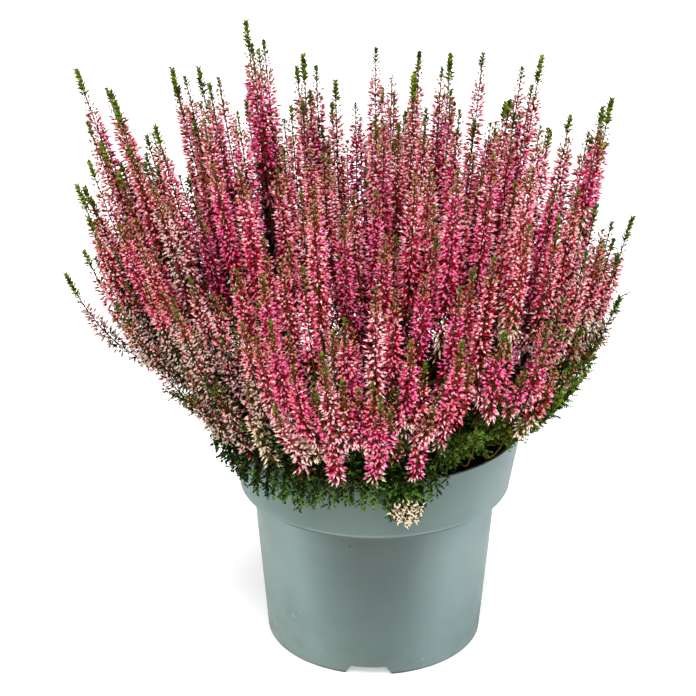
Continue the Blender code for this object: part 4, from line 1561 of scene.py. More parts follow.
@dataclass
class Skirt:
    """The leafy skirt: sprays that cross the compost, lift over the rim and hang outside.

    Between the sprays that its solids follow, a mat of shorter ones covers the rim down to
    the height that MAT_EDGE gives for each azimuth in degrees.
    """

    rule: CrownRule
    masses: int = 8
    start_lean: float = math.radians(101.0)
    rise: float = 0.0098
    rise_from: float = 0.028
    rise_run: float = 0.040
    fan: float = 0.86
    fan_from: float = 0.020
    fan_run: float = 0.050
    sprays: int = 7
    stem_spray: int = 3
    stem_split: float = 0.0065
    split_first: float = 0.018
    split_spread: float = 0.016
    reach: float = 0.093
    reach_spread: float = 0.006
    high_reach: float = 0.107
    drift: float = 0.06
    narrow: float = 0.09
    lift: float = 0.022
    lift_from: float = 0.058
    droop: float = 0.019
    least_droop: float = 0.6
    droop_from: float = 0.078
    seed: int = 7
    left_short: float = 0.13
    side_hold: float = 0.85
    side_lift: float = 0.014
    leafy_run: float = 0.034
    step: float = 0.0022
    leaf: SprigLeaf = SprigLeaf(0.0017, 0.80, 0.00105, 1.00)
    mat_seed: int = 23
    mat_count: int = 305
    mat_radius: float = 0.0800
    mat_thickness: float = 0.0045
    mat_over: float = 0.1180
    mat_ragged: float = 0.0050
    mat_leafy: float = 0.030
    cushion: float = 0.016
    fringe_count: int = 48
    fringe_more: int = 44
    fringe_sector: Span = (math.radians(-80.0), math.radians(45.0))
    fringe_extra: int = 26
    fringe_opposite: Span = (math.radians(-190.0), math.radians(-115.0))
    fringe_seed: int = 29
    fringe_split: float = 0.034
    fringe_run: float = 0.040
    fringe_height: float = 0.127
    fringe_spread: float = 0.010
    fringe_right: float = 0.026
    fringe_left: float = 0.010
    rim_count: int = 30
    rim_seed: int = 17
    rim_turn: float = 0.074
    rim_rise: float = 0.0048
    rim_lift: Span = (0.036, 0.066)
    rim_buds_from: float = 0.064
    rim_bare: float = 0.026
    tuft_heads: tuple[Span, ...] = (
        (-83.6, 0.1088),
        (-81.0, 0.1108),
        (-78.2, 0.1108),
        (-75.6, 0.1086),
        (-82.4, 0.1058),
        (-79.4, 0.1072),
        (-80.4, 0.1030),
        (-77.0, 0.1044),
    )
    tuft_florets: int = 17
    tuft_floret: float = 0.0041
    tuft_leaves: int = 14
    tuft_leaf_sector: Span = (-84.6, -73.6)

    def line(
        self,
        azimuth: float,
        turn: float,
        split: float,
        reach: float,
        lift: float,
        droop: float,
    ) -> Line:
        """The line of one spray.

        Args:
            azimuth: the direction in which it starts.
            turn: how far it fans out from that direction, in radians.
            split: how far from the axis it starts.
            reach: how far from the axis it ends.
            lift: how far it rises on the way.
            droop: how far it then falls.

        Returns:
            Its line.
        """
        run = np.linspace(split, reach, 13)
        fan = ease_out((run - max(split, self.fan_from)) / self.fan_run)
        foot = self.rule.head_radius + CLEARANCE
        height = self.rule.head_height + foot * math.cos(self.start_lean)
        height = height + self.rise * rise(run, self.rise_from, self.rise_run)
        height = height + lift * fan * rise(run, self.lift_from, reach - self.lift_from)
        over = np.maximum(0.0, run - self.droop_from) / (reach - self.droop_from)
        height = height - droop * over * over
        angle = azimuth + turn * fan
        return Line(np.stack((run * np.cos(angle), run * np.sin(angle), height), axis=1))

    def far(self, azimuth: float, reach: float) -> float:
        """How far a spray reaches in a direction."""
        return reach * (1.0 - self.drift * math.cos(azimuth) - self.narrow * math.sin(azimuth) ** 2)

    def lines(self) -> list[Line]:
        """The sprays of the solids."""
        dice = random.Random(self.seed)
        found = []
        for mass in range(self.masses):
            azimuth = FRONT + (mass + 0.5) * math.tau / self.masses
            for spray in range(self.sprays):
                turn = self.fan * math.pi / self.masses * (2.0 * spray / (self.sprays - 1) - 1.0)
                split = self.stem_split
                if spray != self.stem_spray:
                    split = self.split_first + dice.uniform(0.0, self.split_spread)
                spread = dice.uniform(-self.reach_spread, self.reach_spread)
                high = spray % 2 == 1
                droop = 0.0 if high else self.droop * dice.uniform(self.least_droop, 1.0)
                droop *= 1.0 - self.side_hold * math.cos(azimuth + turn) ** 2
                lift = self.lift if high else self.side_lift * max(0.0, math.cos(azimuth + turn))
                reach = (self.high_reach if high else self.reach) + spread
                reach *= 1.0 - self.left_short * rise(-math.cos(azimuth + turn), 0.3, 0.4)
                found.append(self.line(azimuth, turn, split, self.far(azimuth, reach), lift, droop))
        return found

    def mat_edge(self, azimuth: float) -> float:
        """How low the mat hangs at an azimuth."""
        turned = math.degrees(math.remainder(azimuth, math.tau))
        return float(np.interp(turned, list(MAT_EDGE), list(MAT_EDGE.values())))

    def mat_line(self, azimuth: float, layer: float, split: float, end: float) -> Line:
        """One spray of the mat, over the rim and down outside it, or only up to the rim.

        Args:
            azimuth: its direction.
            layer: how far out it lies in the mat, from 0 to 1.
            split: where it starts.
            end: the height at which it ends.

        Returns:
            Its line.
        """
        out = self.mat_radius + self.mat_thickness * layer
        cushion = self.cushion * rise(math.cos(azimuth), 0.30, 0.35)
        top = self.rule.head_height + self.rise + (0.0020 + cushion) * layer
        section = [(split, self.rule.head_height), (0.052, top - 0.0030), (0.066, top)]
        if end > self.mat_over:
            short = out - 0.0030 - 1.2 * (end - self.mat_over)
            section += [(short - 0.0030, top), (short, end + 0.8 * (top - end) * layer)]
        else:
            section += [(out - 0.0045, top - 0.0008), (out - 0.0006, self.mat_over + 0.0012), (out, end)]
        nodes = np.array(section)
        runs = np.concatenate(([0.0], np.cumsum(np.linalg.norm(np.diff(nodes, axis=0), axis=1))))
        steps = np.linspace(0.0, runs[-1], 15)
        path = np.stack([np.interp(steps, runs, nodes[:, axis]) for axis in range(2)], axis=1)
        for _ in range(2):
            path[1:-1] = (path[:-2] + 2.0 * path[1:-1] + path[2:]) / 4.0
        around = np.array((math.cos(azimuth), math.sin(azimuth)))
        return Line(np.concatenate((path[:, :1] * around, path[:, 1:]), axis=1))

    def mat(self) -> list[Line]:
        """The sprays of the mat, all round the rim."""
        dice = random.Random(self.mat_seed)
        found = []
        for index in range(self.mat_count):
            azimuth = index * GOLDEN_ANGLE + dice.uniform(-0.02, 0.02)
            split = self.split_first + dice.uniform(0.0, self.split_spread)
            end = self.mat_edge(azimuth) + dice.uniform(0.0, self.mat_ragged)
            found.append(self.mat_line(azimuth, dice.random(), split, end))
        return found

    def fringe(self) -> list[Line]:
        """Leafy shoots under the crown's edge, along its outermost growth lines."""
        dice = random.Random(self.fringe_seed)
        found = []
        azimuths = [index * GOLDEN_ANGLE for index in range(self.fringe_count)]
        azimuths += [dice.uniform(*self.fringe_sector) for _ in range(self.fringe_more)]
        azimuths += [dice.uniform(*self.fringe_opposite) for _ in range(self.fringe_extra)]
        for azimuth in azimuths:
            left = smoothstep(-math.cos(azimuth) / 0.6)
            disc = disc_place(dice.uniform(0.89, 0.99) - 0.03 * left, azimuth)
            height = self.fringe_height + dice.uniform(0.0, self.fringe_spread)
            height += self.fringe_right * rise(math.cos(azimuth), 0.2, 0.5)
            height += self.fringe_left * rise(-math.cos(azimuth), 0.2, 0.5)
            length = self.rule.length_to_height(disc, height)
            distances = np.linspace(self.fringe_split, length, 16)
            found.append(Line(self.rule.points(np.tile(disc, (16, 1)), distances)))
        return found

    def rim_shoots(self) -> list[Line]:
        """The low flowering shoots, which cross the rim and turn up outside it."""
        dice = random.Random(self.rim_seed)
        found = []
        for index in range(self.rim_count):
            azimuth = FRONT + index * math.tau / self.rim_count + dice.uniform(-0.05, 0.05)
            reach = self.far(azimuth, dice.uniform(0.095, 0.108))
            split = self.split_first + dice.uniform(0.0, self.split_spread)
            flat = np.linspace(split, self.rim_turn, 7)[:-1]
            run = np.concatenate((flat, np.linspace(self.rim_turn, reach, 14)))
            share = (run - self.rim_turn) / (reach - self.rim_turn)
            height = self.rule.head_height
            height = height + self.rim_rise * rise(run, self.rise_from, self.rise_run)
            height = height + dice.uniform(*self.rim_lift) * np.maximum(share, 0.0) ** 1.8
            found.append(Line(np.stack((run * math.cos(azimuth), run * math.sin(azimuth), height), axis=1)))
        return found

    def spray_tints(self, end: Array) -> list[LeafTint]:
        """The tints of a spray that ends at a point: bright on the right, dark on the left, as painted light
        and shade.
        """
        tints = [LeafTint.MOSS_DEEP, LeafTint.MOSS, LeafTint.MOSS, LeafTint.MOSS_LIGHT]
        # Painted light: sprays that end on the right take bright tints.
        if end[0] > 0.040:
            return [*tints, LeafTint.MOSS_LIGHT, LeafTint.MOSS_LIGHT, LeafTint.FRESH, LeafTint.BRIGHT]
        # Painted shade: sprays that end on the left take dark tints.
        if end[0] < -0.050:
            return [*tints, LeafTint.MOSS_DEEP, LeafTint.DEEP, LeafTint.PAINTED_SHADE]
        return [*tints, LeafTint.MOSS_DEEP, LeafTint.MOSS_LIGHT]

    def dress_spray(self, line: Line, run: float, sprays: Sprays) -> None:
        """Put the twig and, over the last run of it, its leaves on one spray.

        Args:
            line: the spray's line.
            run: the length of it that is leafy.
            sprays: what the shapes are added to.
        """
        dice = sprays.dice
        tints = self.spray_tints(line.points[-1])
        share = np.arange(len(line.points) - 1) / (len(line.points) - 1)
        sprays.twigs.append(line.tube(0.0007 - 0.0005 * share, 3, 0))
        start = line.length - run
        spots = np.arange(start, line.length - 0.002, self.step)
        turns = np.arange(len(spots)) * GOLDEN_ANGLE + dice.normal(0.0, 0.4, len(spots))
        taper = np.linspace(1.0, 0.75, len(spots))
        lengths = dice.uniform(0.0036, 0.0062, len(spots)) * taper
        sprays.add_side_sprays(line, spots, turns, lengths, 0.95, self.leaf, tints)
        spots = np.arange(start, line.length - 0.0006, 0.0013)
        sprays.add_leaves(line, spots, (0.0019, 0.0017), (1.0, 0.6), tints, 0.8)

    def dress_rim_shoot(self, line: Line, sprays: Sprays, spike: FlowerSpike) -> None:
        """Put the twig, the buds, the leaves and the tip on one low flowering shoot.

        Args:
            line: the shoot's line.
            sprays: what the shapes are added to.
            spike: how its flowering part is dressed.
        """
        dice = sprays.dice
        share = np.arange(len(line.points) - 1) / (len(line.points) - 1)
        sprays.twigs.append(line.tube(0.0008 - 0.0005 * share, 3, 1))
        own = BudTint(int(dice.choice((0, 1, 2, 3), p=(0.3, 0.3, 0.2, 0.2))))
        foot = BudTint.CREAM if dice.random() < 0.4 else BudTint.BLUSH
        left = rise(-line.points[-1, 0], 0.010, 0.04)
        if dice.random() < 0.8 * left:
            foot = BudTint.FADED
        reach = np.hypot(line.points[:, 0], line.points[:, 1])
        right = rise(line.points[-1, 0], 0.012, 0.03)
        start = float(np.interp(self.rim_buds_from + self.rim_bare * right, reach, line.runs))
        fade = 0.55 + 0.45 * left
        fill = 1.0 - 0.45 * left
        # The 0.30 share of deep buds is partly painted shade, the 0.40 share of blush buds near the top
        # partly painted highlight.
        look = SpikeLook(own, foot, fade, fill, 0.30, 0.40, dice.uniform(0.2, 0.5))
        spike.dress(sprays, line, start, look)

    def add_tuft(self, sprays: Sprays) -> None:
        """The round heads of cream florets that hang over the rim in front, on leafy sprays.

        Args:
            sprays: what the shapes are added to.
        """
        dice = sprays.dice
        cream = BudTint.CREAM.value
        for degrees in np.linspace(*self.tuft_leaf_sector, self.tuft_leaves):
            end = dice.uniform(0.1005, 0.1065)
            line = self.mat_line(math.radians(degrees), dice.uniform(0.0, 0.7), self.split_first, end)
            self.dress_spray(line, self.mat_leafy, sprays)
        for degrees, height in self.tuft_heads:
            azimuth = math.radians(degrees)
            line = self.mat_line(azimuth, 0.8, self.split_first, height)
            self.dress_spray(line, self.mat_leafy, sprays)
            count = self.tuft_florets
            out = np.array((math.cos(azimuth), math.sin(azimuth), 0.25))
            heading = unit(dice.normal(0.0, 1.0, (count, 3)) + out)
            feet = line.points[-1] + 0.0012 * out + heading * 0.0008
            lengths = self.tuft_floret * dice.uniform(0.75, 1.15, count)
            tints = (cream, BudTint.FADED.value, BudTint.YOUNG.value)
            bodies = dice.choice(tints, size=count, p=(0.3, 0.4, 0.3))
            finishes = np.stack((bodies, np.full(count, len(BUD_BODIES) + cream)), axis=1)
            across = dice.normal(0.0, 1.0, (count, 3))
            sprays.buds.append(BUD.copies(feet, heading, across, lengths, lengths * 0.26, finishes))

    def build(self) -> list[bpy.types.Object]:
        """Dress every spray and join the pieces.

        Returns:
            The pieces.
        """
        spike = FlowerSpike()
        skirt = Sprays(np.random.default_rng(self.seed))
        for line in self.lines():
            self.dress_spray(line, self.leafy_run, skirt)
        for line in self.fringe():
            self.dress_spray(line, min(self.fringe_run, 0.9 * line.length), skirt)
        for line in self.rim_shoots():
            self.dress_rim_shoot(line, skirt, spike)
        mat = Sprays(np.random.default_rng(self.mat_seed))
        for line in self.mat():
            self.dress_spray(line, self.mat_leafy, mat)
        self.add_tuft(mat)
        nodes = [f"leaf_skirt_{index + 1:02d}" for index in range(self.masses)]
        return finish_sprays("skirt", skirt, "leaf", nodes) + finish_sprays("mat", mat, "leaf", nodes)


@dataclass
class Pot:
    """The nursery pot, turned finer than its solid, with its notches and drain holes."""

    height: float = 0.1184
    rim_radius: float = 0.075
    collar_foot_z: float = 0.0852
    collar_foot_radius: float = 0.0695
    body_top_radius: float = 0.0628
    base_radius: float = 0.0562
    wall: float = 0.0016
    edge: float = 0.0004
    foot_height: float = 0.0056
    foot_width: float = 0.0018
    pad_radius: float = 0.021
    notches: int = 3
    notch_azimuth: float = math.radians(-92.5)
    notch_top: float = 0.018
    notch_foot: float = 0.026
    notch_height: float = 0.0048
    notch_depth: float = 0.009
    drains: int = 6
    drain_radius: float = 0.004
    drain_ring: float = 0.038
    steps: int = 128

    def body_radius(self, height: float) -> float:
        """The outer radius at a height on the body."""
        return self.base_radius + (self.body_top_radius - self.base_radius) * height / self.collar_foot_z

    def collar_radius(self, height: float) -> float:
        """The outer radius at a height on the collar."""
        share = (height - self.collar_foot_z) / (self.height - self.collar_foot_z)
        return self.collar_foot_radius + (self.rim_radius - self.collar_foot_radius) * share

    def profile(self) -> list[Span]:
        """The section, from the inside of the floor over the rim to the underside."""
        floor_top = self.foot_height + self.wall
        ledge = self.collar_foot_z + self.wall
        inner = self.rim_radius - self.wall
        points = [(0.0, self.wall), (self.pad_radius - self.wall, self.wall)]
        points += [(self.pad_radius, floor_top), (self.body_radius(floor_top) - self.wall, floor_top)]
        points.append((self.body_radius(ledge) - self.wall, ledge))
        points.append((self.collar_radius(ledge) - self.wall, ledge))
        points.append((inner - 0.0001, self.height - 2.0 * self.edge))
        points += self.rounded(inner + self.edge, self.height - self.edge, math.pi, math.pi / 2)
        points += self.rounded(self.rim_radius - self.edge, self.height - self.edge, math.pi / 2, 0.0)
        low = self.collar_foot_z + 3.0 * self.edge
        points.append((self.collar_radius(low), low))
        centre = self.collar_radius(low) - 2.5 * self.edge
        points += self.rounded(centre, self.collar_foot_z + 2.5 * self.edge, 0.0, -math.pi / 2, 2.5)
        points += [(self.body_top_radius + self.edge, self.collar_foot_z)]
        points += [(self.body_top_radius, self.collar_foot_z - 2.0 * self.edge)]
        points += [(self.base_radius, 2.0 * self.edge), (self.base_radius - 2.0 * self.edge, 0.0)]
        foot = self.base_radius - self.foot_width
        points += [(foot, 0.0), (foot, self.foot_height), (self.pad_radius + self.wall, self.foot_height)]
        return points + [(self.pad_radius, 0.0), (0.0, 0.0)]

    def rounded(
        self,
        x: float,
        z: float,
        start: float,
        end: float,
        size: float = 1.0,
    ) -> list[Span]:
        """An arc about a point of the section.

        Args:
            x: the point's distance from the axis.
            z: its height.
            start: the angle at which the arc starts.
            end: the angle at which it ends.
            size: its radius, as a multiple of the edge's.

        Returns:
            Five points of the arc.
        """
        found = []
        for index in range(5):
            angle = start + (end - start) * index / 4
            radius = self.edge * size
            found.append((x + radius * math.cos(angle), z + radius * math.sin(angle)))
        return found

    def turned(self) -> bpy.types.Object:
        """Turn the section about the Z axis."""
        profile = self.profile()
        mesh = bpy.data.meshes.new("pot_shell")
        edges = [(index, index + 1) for index in range(len(profile) - 1)]
        mesh.from_pydata([(radius, 0.0, height) for radius, height in profile], edges, [])
        pot = linked("pot_shell", mesh)
        screw = pot.modifiers.new("turn", "SCREW")
        screw.axis = "Z"
        screw.angle = math.tau
        screw.steps = self.steps
        screw.render_steps = self.steps
        screw.use_merge_vertices = True
        screw.merge_threshold = 0.00001
        return pot

    def cutters(self) -> bpy.types.Collection:
        """The wedges of the notches and the pins of the drain holes."""
        cutters = bpy.data.collections.new("cutters")
        for index in range(self.notches):
            shape = bmesh.new()
            bmesh.ops.create_cube(shape, size=1.0)
            for corner in shape.verts:
                width = self.notch_top if corner.co.z > 0 else self.notch_foot
                height = self.notch_height if corner.co.z > 0 else -0.0012
                along = self.base_radius - self.foot_width / 2.0 + corner.co.x * self.notch_depth
                corner.co = Vector((along, corner.co.y * width, height))
            turn = Matrix.Rotation(self.notch_azimuth + index * math.tau / self.notches, 4, "Z")
            self.add_cutter(shape, turn, cutters)
        for index in range(self.drains):
            shape = bmesh.new()
            sizes = {"radius1": self.drain_radius, "radius2": self.drain_radius, "depth": 0.004}
            bmesh.ops.create_cone(shape, cap_ends=True, segments=24, **sizes)
            azimuth = index * math.tau / self.drains
            across = self.drain_ring * math.cos(azimuth)
            along = self.drain_ring * math.sin(azimuth)
            turn = Matrix.Translation((across, along, self.foot_height + self.wall / 2.0))
            self.add_cutter(shape, turn, cutters)
        return cutters

    def add_cutter(self, shape: bmesh.types.BMesh, matrix: Matrix, cutters: bpy.types.Collection) -> None:
        """Put one cutter in the collection."""
        bmesh.ops.transform(shape, matrix=matrix, verts=shape.verts)
        mesh = bpy.data.meshes.new("cutter")
        shape.to_mesh(mesh)
        shape.free()
        cutters.objects.link(bpy.data.objects.new("cutter", mesh))

    def build(self) -> list[bpy.types.Object]:
        """Turn the pot, cut it and dress it.

        Returns:
            The pot, alone.
        """
        pot = self.turned()
        cutters = self.cutters()
        bpy.context.scene.collection.children.link(cutters)
        cut = pot.modifiers.new("drainage", "BOOLEAN")
        cut.operation = "DIFFERENCE"
        cut.operand_type = "COLLECTION"
        cut.collection = cutters
        mesh = evaluated_mesh(pot)
        pot.modifiers.clear()
        pot.data = mesh
        for cutter in list(cutters.objects):
            bpy.data.objects.remove(cutter, do_unlink=True)
        bpy.data.collections.remove(cutters)
        mesh.materials.clear()
        mesh.materials.append(PotPlastic().material())
        mesh.materials.append(PotInside().material())
        for face in mesh.polygons:
            face.material_index = 1 if self.is_inside(face.center) else 0
        mesh.shade_smooth()
        mesh.set_sharp_from_angle(angle=math.radians(32.0))
        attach(pot, BODY)
        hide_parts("pot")
        return [pot]

    def is_inside(self, centre: Vector) -> bool:
        """Whether a face looks into the pot."""
        outer = self.collar_radius(centre.z) if centre.z > self.collar_foot_z else self.body_radius(centre.z)
        reach = math.hypot(centre.x, centre.y)
        return centre.z > self.foot_height + self.edge and reach < outer - 0.75 * self.wall


def evaluated_mesh(thing: bpy.types.Object) -> bpy.types.Mesh:
    """An object's mesh with its modifiers applied."""
    bpy.context.view_layer.update()
    return bpy.data.meshes.new_from_object(thing.evaluated_get(bpy.context.evaluated_depsgraph_get()))


@dataclass
class Compost:
    """The fill of the pot: an uneven crust, with crumbs and fibres of peat on it."""

    pot: Pot
    top: float = 0.1080
    mound: float = 0.0020
    rings: int = 26
    sides: int = 90
    crumbs: int = 900
    fibres: int = 160
    seed: int = 3

    def surface_height(self, across: float, along: float) -> float:
        """The crust's height at a place."""
        share = math.hypot(across, along) / self.pot.rim_radius
        bumps = noise.noise(Vector((across * 130.0, along * 130.0, 1.7))) * 0.0011
        bumps += noise.noise(Vector((across * 420.0, along * 420.0, 5.1))) * 0.0005
        return self.top + self.mound * (1.0 - share * share) - 0.0008 + bumps

    def crust(self) -> Shape:
        """The crust and the sides of the fill, as one closed body."""
        inset = self.pot.wall + 2.0 * CLEARANCE
        wide = self.pot.collar_radius(self.top) - inset
        corners = [(0.0, 0.0, self.surface_height(0.0, 0.0))]
        for row in range(1, self.rings + 1):
            reach = wide * row / self.rings
            for side in range(self.sides):
                angle = side * math.tau / self.sides
                across = reach * math.cos(angle)
                along = reach * math.sin(angle)
                corners.append((across, along, self.surface_height(across, along)))
        ledge = self.pot.collar_foot_z + self.pot.wall + CLEARANCE
        bottom = self.pot.foot_height + self.pot.wall + CLEARANCE
        for height, reach in (
            (ledge, self.pot.collar_radius(ledge) - inset),
            (ledge, self.pot.body_radius(ledge) - inset),
            (bottom, self.pot.body_radius(bottom) - inset),
        ):
            corners += ring(self.sides, reach, height, 0.0)
        corners.append((0.0, 0.0, bottom))
        return Shape(np.array(corners), self.crust_faces(len(corners) - 1), np.zeros(0))

    def crust_faces(self, last: int) -> Array:
        """The faces between the crust's rings, and the two fans that close it."""
        number = 1 + np.arange((self.rings + 3) * self.sides).reshape(-1, self.sides)
        after = np.roll(number, -1, axis=1)
        bands = [faces[:, (0, 2, 1)] for faces in band_faces(number)]
        centre = np.stack((np.zeros(self.sides, dtype=int), number[0], after[0]), axis=-1)
        under = np.stack((np.full(self.sides, last), after[-1], number[-1]), axis=-1)
        return np.concatenate((*bands, centre, under))

    def crumb_shapes(self) -> Shape:
        """Crumbs of peat and short fibres lying on the crust."""
        dice = np.random.default_rng(self.seed)
        count = self.crumbs + self.fibres
        wide = self.pot.collar_radius(self.top) - self.pot.wall - 0.0030
        reach = wide * np.sqrt(dice.random(count) * 0.985 + 0.015)
        angle = dice.uniform(0.0, math.tau, count)
        across = reach * np.cos(angle)
        along = reach * np.sin(angle)
        height = np.array([self.surface_height(x, y) for x, y in zip(across, along)])
        fibre = np.arange(count) >= self.crumbs
        lengths = np.where(fibre, dice.uniform(0.004, 0.009, count), dice.uniform(0.0012, 0.0034, count))
        widths = np.where(fibre, 0.0006, lengths * dice.uniform(0.6, 0.95, count))
        heading = dice.normal(0.0, 1.0, (count, 3))
        heading[:, 2] = np.where(fibre, 0.10, heading[:, 2] * 0.5)
        heading = unit(heading)
        feet = np.stack((across, along, height + 0.0002), axis=1) - heading * (lengths / 2.0)[:, None]
        across = dice.normal(0.0, 1.0, (count, 3))
        return BUD.copies(feet, heading, across, lengths, widths, np.zeros((count, 2), int))

    def build(self) -> list[bpy.types.Object]:
        """Make the crust and the crumbs.

        Returns:
            The two pieces.
        """
        crust = self.crust()
        mesh = bpy.data.meshes.new("compost_crust")
        mesh.from_pydata(crust.corners.tolist(), [], crust.faces.tolist())
        mesh.shade_smooth()
        mesh.materials.append(Peat().material())
        crust_piece = linked("compost_crust", mesh)
        crumb_piece = self.crumb_shapes().to_object("compost_crumbs", (PEAT_CRUMB,))
        for piece in (crust_piece, crumb_piece):
            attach(piece, BODY)
        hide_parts("compost")
        return [crust_piece, crumb_piece]


@dataclass
class Wood:
    """The short woody stem with its root flare, and the boughs, all with bark relief."""

    plan: CrownPlan
    foot: float = 0.1103
    waist_drop: float = 0.0033
    waist_radius: float = 0.0054
    flare_radius: float = 0.0085
    flare_lobes: int = 5
    lobe_depth: float = 0.14
    sides: int = 48
    bough_foot: float = 0.0014
    bough_tip: float = 0.0009
    bough_sides: int = 10
    bough_rows: int = 16
    bough_relief: float = 0.16
    relief: float = 0.00035

    def rows(self) -> list[tuple[float, float, float]]:
        """The height, the radius and the depth of the lobes of each ring of the stem."""
        head = self.plan.rule.head_radius
        centre = self.plan.rule.head_height
        waist = centre - self.waist_drop
        found = []
        for index in range(9):
            share = index / 8
            flare = (1.0 - share) ** 2
            radius = self.waist_radius + (self.flare_radius - self.waist_radius) * flare
            found.append((self.foot + (waist - self.foot) * share, radius, self.lobe_depth * flare))
        for index in range(1, 9):
            angle = math.radians(-24.0 + 13.0 * index)
            found.append((centre + head * math.sin(angle), head * math.cos(angle), 0.0))
        return found

    def stem(self) -> Shape:
        """The stem, with fissures that run up it."""
        corners = []
        for height, radius, lobes in self.rows():
            for side in range(self.sides):
                angle = side * math.tau / self.sides
                crack = noise.noise(Vector((math.cos(angle) * 3.2, math.sin(angle) * 3.2, height * 120.0)))
                reach = radius * (1.0 + lobes * math.cos(self.flare_lobes * angle))
                reach += self.relief * crack
                corners.append((reach * math.cos(angle), reach * math.sin(angle), height))
        rows = len(self.rows())
        corners.append((0.0, 0.0, self.foot))
        corners.append((0.0, 0.0, self.plan.rule.head_height + self.plan.rule.head_radius))
        number = np.arange(rows * self.sides).reshape(rows, self.sides)
        after = np.roll(number, -1, axis=1)
        under = np.stack((after[0], number[0], np.full(self.sides, rows * self.sides)), axis=-1)
        crest = np.stack((number[-1], after[-1], np.full(self.sides, rows * self.sides + 1)), axis=-1)
        faces = np.concatenate((*band_faces(number), under, crest))
        return Shape(np.array(corners), faces, np.zeros(len(faces), dtype=int))

    def boughs(self) -> list[Shape]:
        """One tapering bough for each mass, rough with bark."""
        found = []
        for place in self.plan.mass_places():
            count = self.bough_rows
            distances = np.linspace(0.0, self.plan.bough_reach(place) + 2.0 * CLEARANCE, count)
            line = Line(self.plan.rule.points(np.tile(place, (count, 1)), distances))
            share = np.arange(count - 1) / (count - 1)
            radii = self.bough_foot + (self.bough_tip - self.bough_foot) * share
            shape = line.tube(radii, self.bough_sides, 0)
            found.append(self.roughened(shape, line))
        return found

    def roughened(self, shape: Shape, line: Line) -> Shape:
        """Move a bough's corners in and out along the grain.

        Args:
            shape: the bough.
            line: its line.

        Returns:
            The rough bough.
        """
        corners = shape.corners.copy()
        for index, corner in enumerate(corners[:-1]):
            middle = line.points[index // self.bough_sides]
            out = corner - middle
            crack = noise.noise(Vector(corner * np.array((900.0, 900.0, 260.0))))
            corners[index] = middle + out * (1.0 + self.bough_relief * crack)
        return Shape(corners, shape.faces, shape.finishes)

    def build(self) -> list[bpy.types.Object]:
        """Make the stem and the boughs.

        Returns:
            The two pieces.
        """
        bark = Bark().material()
        pieces = []
        names = [f"bough_{index + 1:02d}" for index in range(len(self.plan.mass_places()))]
        for name, shape, nodes in (
            ("stem_bark", self.stem(), ["stem"]),
            ("bough_bark", Shape.joined(self.boughs()), names),
        ):
            piece = shape.to_object(name, (TWIG_BROWN,))
            piece.data.materials.clear()
            piece.data.materials.append(bark)
            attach(piece, BODY)
            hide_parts(*nodes)
            pieces.append(piece)
        return pieces


@dataclass(frozen=True)
class SoftLight:
    """A square soft light that faces the plant."""

    name: str
    place: Colour
    size: float
    watts: float
    colour: Colour
    aim_height: float

    def add(self) -> None:
        """Set the light up."""
        light = bpy.data.lights.new(self.name, "AREA")
        light.size = self.size
        light.energy = self.watts
        light.color = self.colour
        thing = linked(self.name, light)
        thing.location = self.place
        aim = Vector((0.0, 0.0, self.aim_height)) - Vector(self.place)
        thing.rotation_euler = aim.to_track_quat("-Z", "Y").to_euler()


SOFT_LIGHTS = (
    SoftLight("right_light", (1.05, -1.10, 0.12), 0.60, 6.0, (1.0, 1.0, 0.98), 0.05),
    SoftLight("left_light", (-1.15, -0.95, 0.12), 0.60, 5.0, (1.0, 0.90, 0.52), 0.05),
)


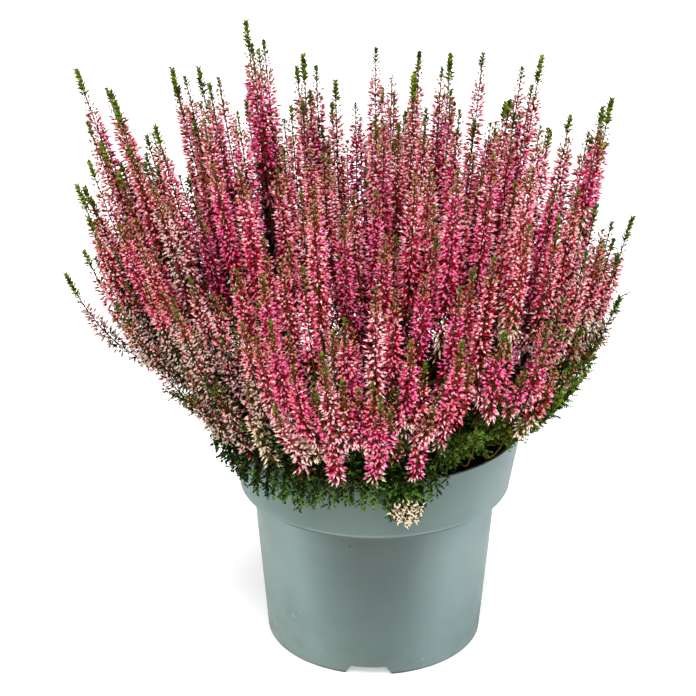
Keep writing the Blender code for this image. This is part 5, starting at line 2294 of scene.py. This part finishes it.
@dataclass
class Studio:
    """The pale floor, the soft lights and the camera."""

    camera_away: float = 0.873838
    camera_height: float = 0.523227
    camera_aside: float = 0.000227
    pitch: float = 0.397
    yaw: float = -0.016
    focal_pixels: float = 1880.675
    frame_pixels: float = 696.0
    film_width: float = 36.0
    floor_half: float = 6.0
    floor_colour: Colour = (0.92, 0.92, 0.92)
    floor_glow: float = 0.42
    sun_power: float = 5.3
    sun_angle: float = math.radians(62.0)
    sun_tilt: float = math.radians(19.0)
    sun_turn: float = math.radians(4.0)
    sky: float = 0.29
    sky_front: float = 0.23

    def add_camera(self) -> None:
        """The camera at the photograph's viewing angle."""
        camera = bpy.data.cameras.new("camera")
        camera.sensor_width = self.film_width
        camera.lens = self.focal_pixels / self.frame_pixels * self.film_width
        camera.clip_end = 50.0
        thing = linked("camera", camera)
        level = math.cos(self.pitch)
        forward = Vector((math.sin(self.yaw) * level, math.cos(self.yaw) * level, -math.sin(self.pitch)))
        right = Vector((math.cos(self.yaw), -math.sin(self.yaw), 0.0))
        matrix = Matrix((right, right.cross(forward), -forward)).transposed().to_4x4()
        matrix.translation = Vector((self.camera_aside, -self.camera_away, self.camera_height))
        thing.matrix_world = matrix
        bpy.context.scene.camera = thing

    def add_floor(self) -> None:
        """A wide pale floor."""
        shape = bmesh.new()
        bmesh.ops.create_grid(shape, x_segments=1, y_segments=1, size=self.floor_half)
        mesh = bpy.data.meshes.new("floor")
        shape.to_mesh(mesh)
        shape.free()
        floor = linked("floor", mesh)
        shader = Shader("floor_paper")
        shader.surface_input("Base Color", self.floor_colour)
        shader.surface_input("Roughness", 0.9)
        shader.surface_input("Emission Color", (1.0, 1.0, 1.0))
        shader.surface_input("Emission Strength", self.floor_glow)
        mesh.materials.append(shader.material)

    def add_top_light(self) -> None:
        """The soft light from overhead that whitens the floor."""
        light = bpy.data.lights.new("top_light", "SUN")
        light.energy = self.sun_power
        light.angle = self.sun_angle
        linked("top_light", light).rotation_euler = (self.sun_tilt, 0.0, self.sun_turn)

    def add_sky(self) -> None:
        """A pale surround, dimmer behind the camera."""
        world = bpy.data.worlds.new("surround")
        bpy.context.scene.world = world
        world.use_nodes = True
        tree = NodeTree(world.node_tree)
        way = tree.node("ShaderNodeTexCoord", {}, {}).out("Generated")
        depth = tree.node("ShaderNodeSeparateXYZ", {}, {0: way}).out("Y")
        lit = self.sky_front + (self.sky - self.sky_front) * depth.ramp(-0.75, 0.05)
        tree.feed(world.node_tree.nodes["Background"].inputs["Strength"], lit)

    def build(self) -> None:
        """Set up the studio."""
        bpy.context.scene.view_settings.view_transform = "Standard"
        self.add_sky()
        self.add_floor()
        self.add_top_light()
        for light in SOFT_LIGHTS:
            light.add()
        self.add_camera()


def report(pieces: Sequence[bpy.types.Object]) -> int:
    """Log each piece's name and its triangles.

    Args:
        pieces: the pieces.

    Returns:
        The triangles of them all.
    """
    total = 0
    for piece in pieces:
        count = sum(len(face.vertices) - 2 for face in piece.data.polygons)
        total += count
        LOG.info("%s: %d triangles", piece.name, count)
    return total


def main() -> None:
    """Load the frame, build the heather round it, and note its size."""
    logging.basicConfig(level=logging.INFO, format="%(name)s %(message)s")
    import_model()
    plan = CrownPlan(CrownRule())
    pot = Pot()
    total = 0
    for part in (pot, Compost(pot), Wood(plan), Crown(plan), Skirt(plan.rule)):
        total += report(part.build())
    LOG.info("in all: %d triangles", total)
    Studio().build()
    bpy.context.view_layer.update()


if __name__ == "__main__":
    main()
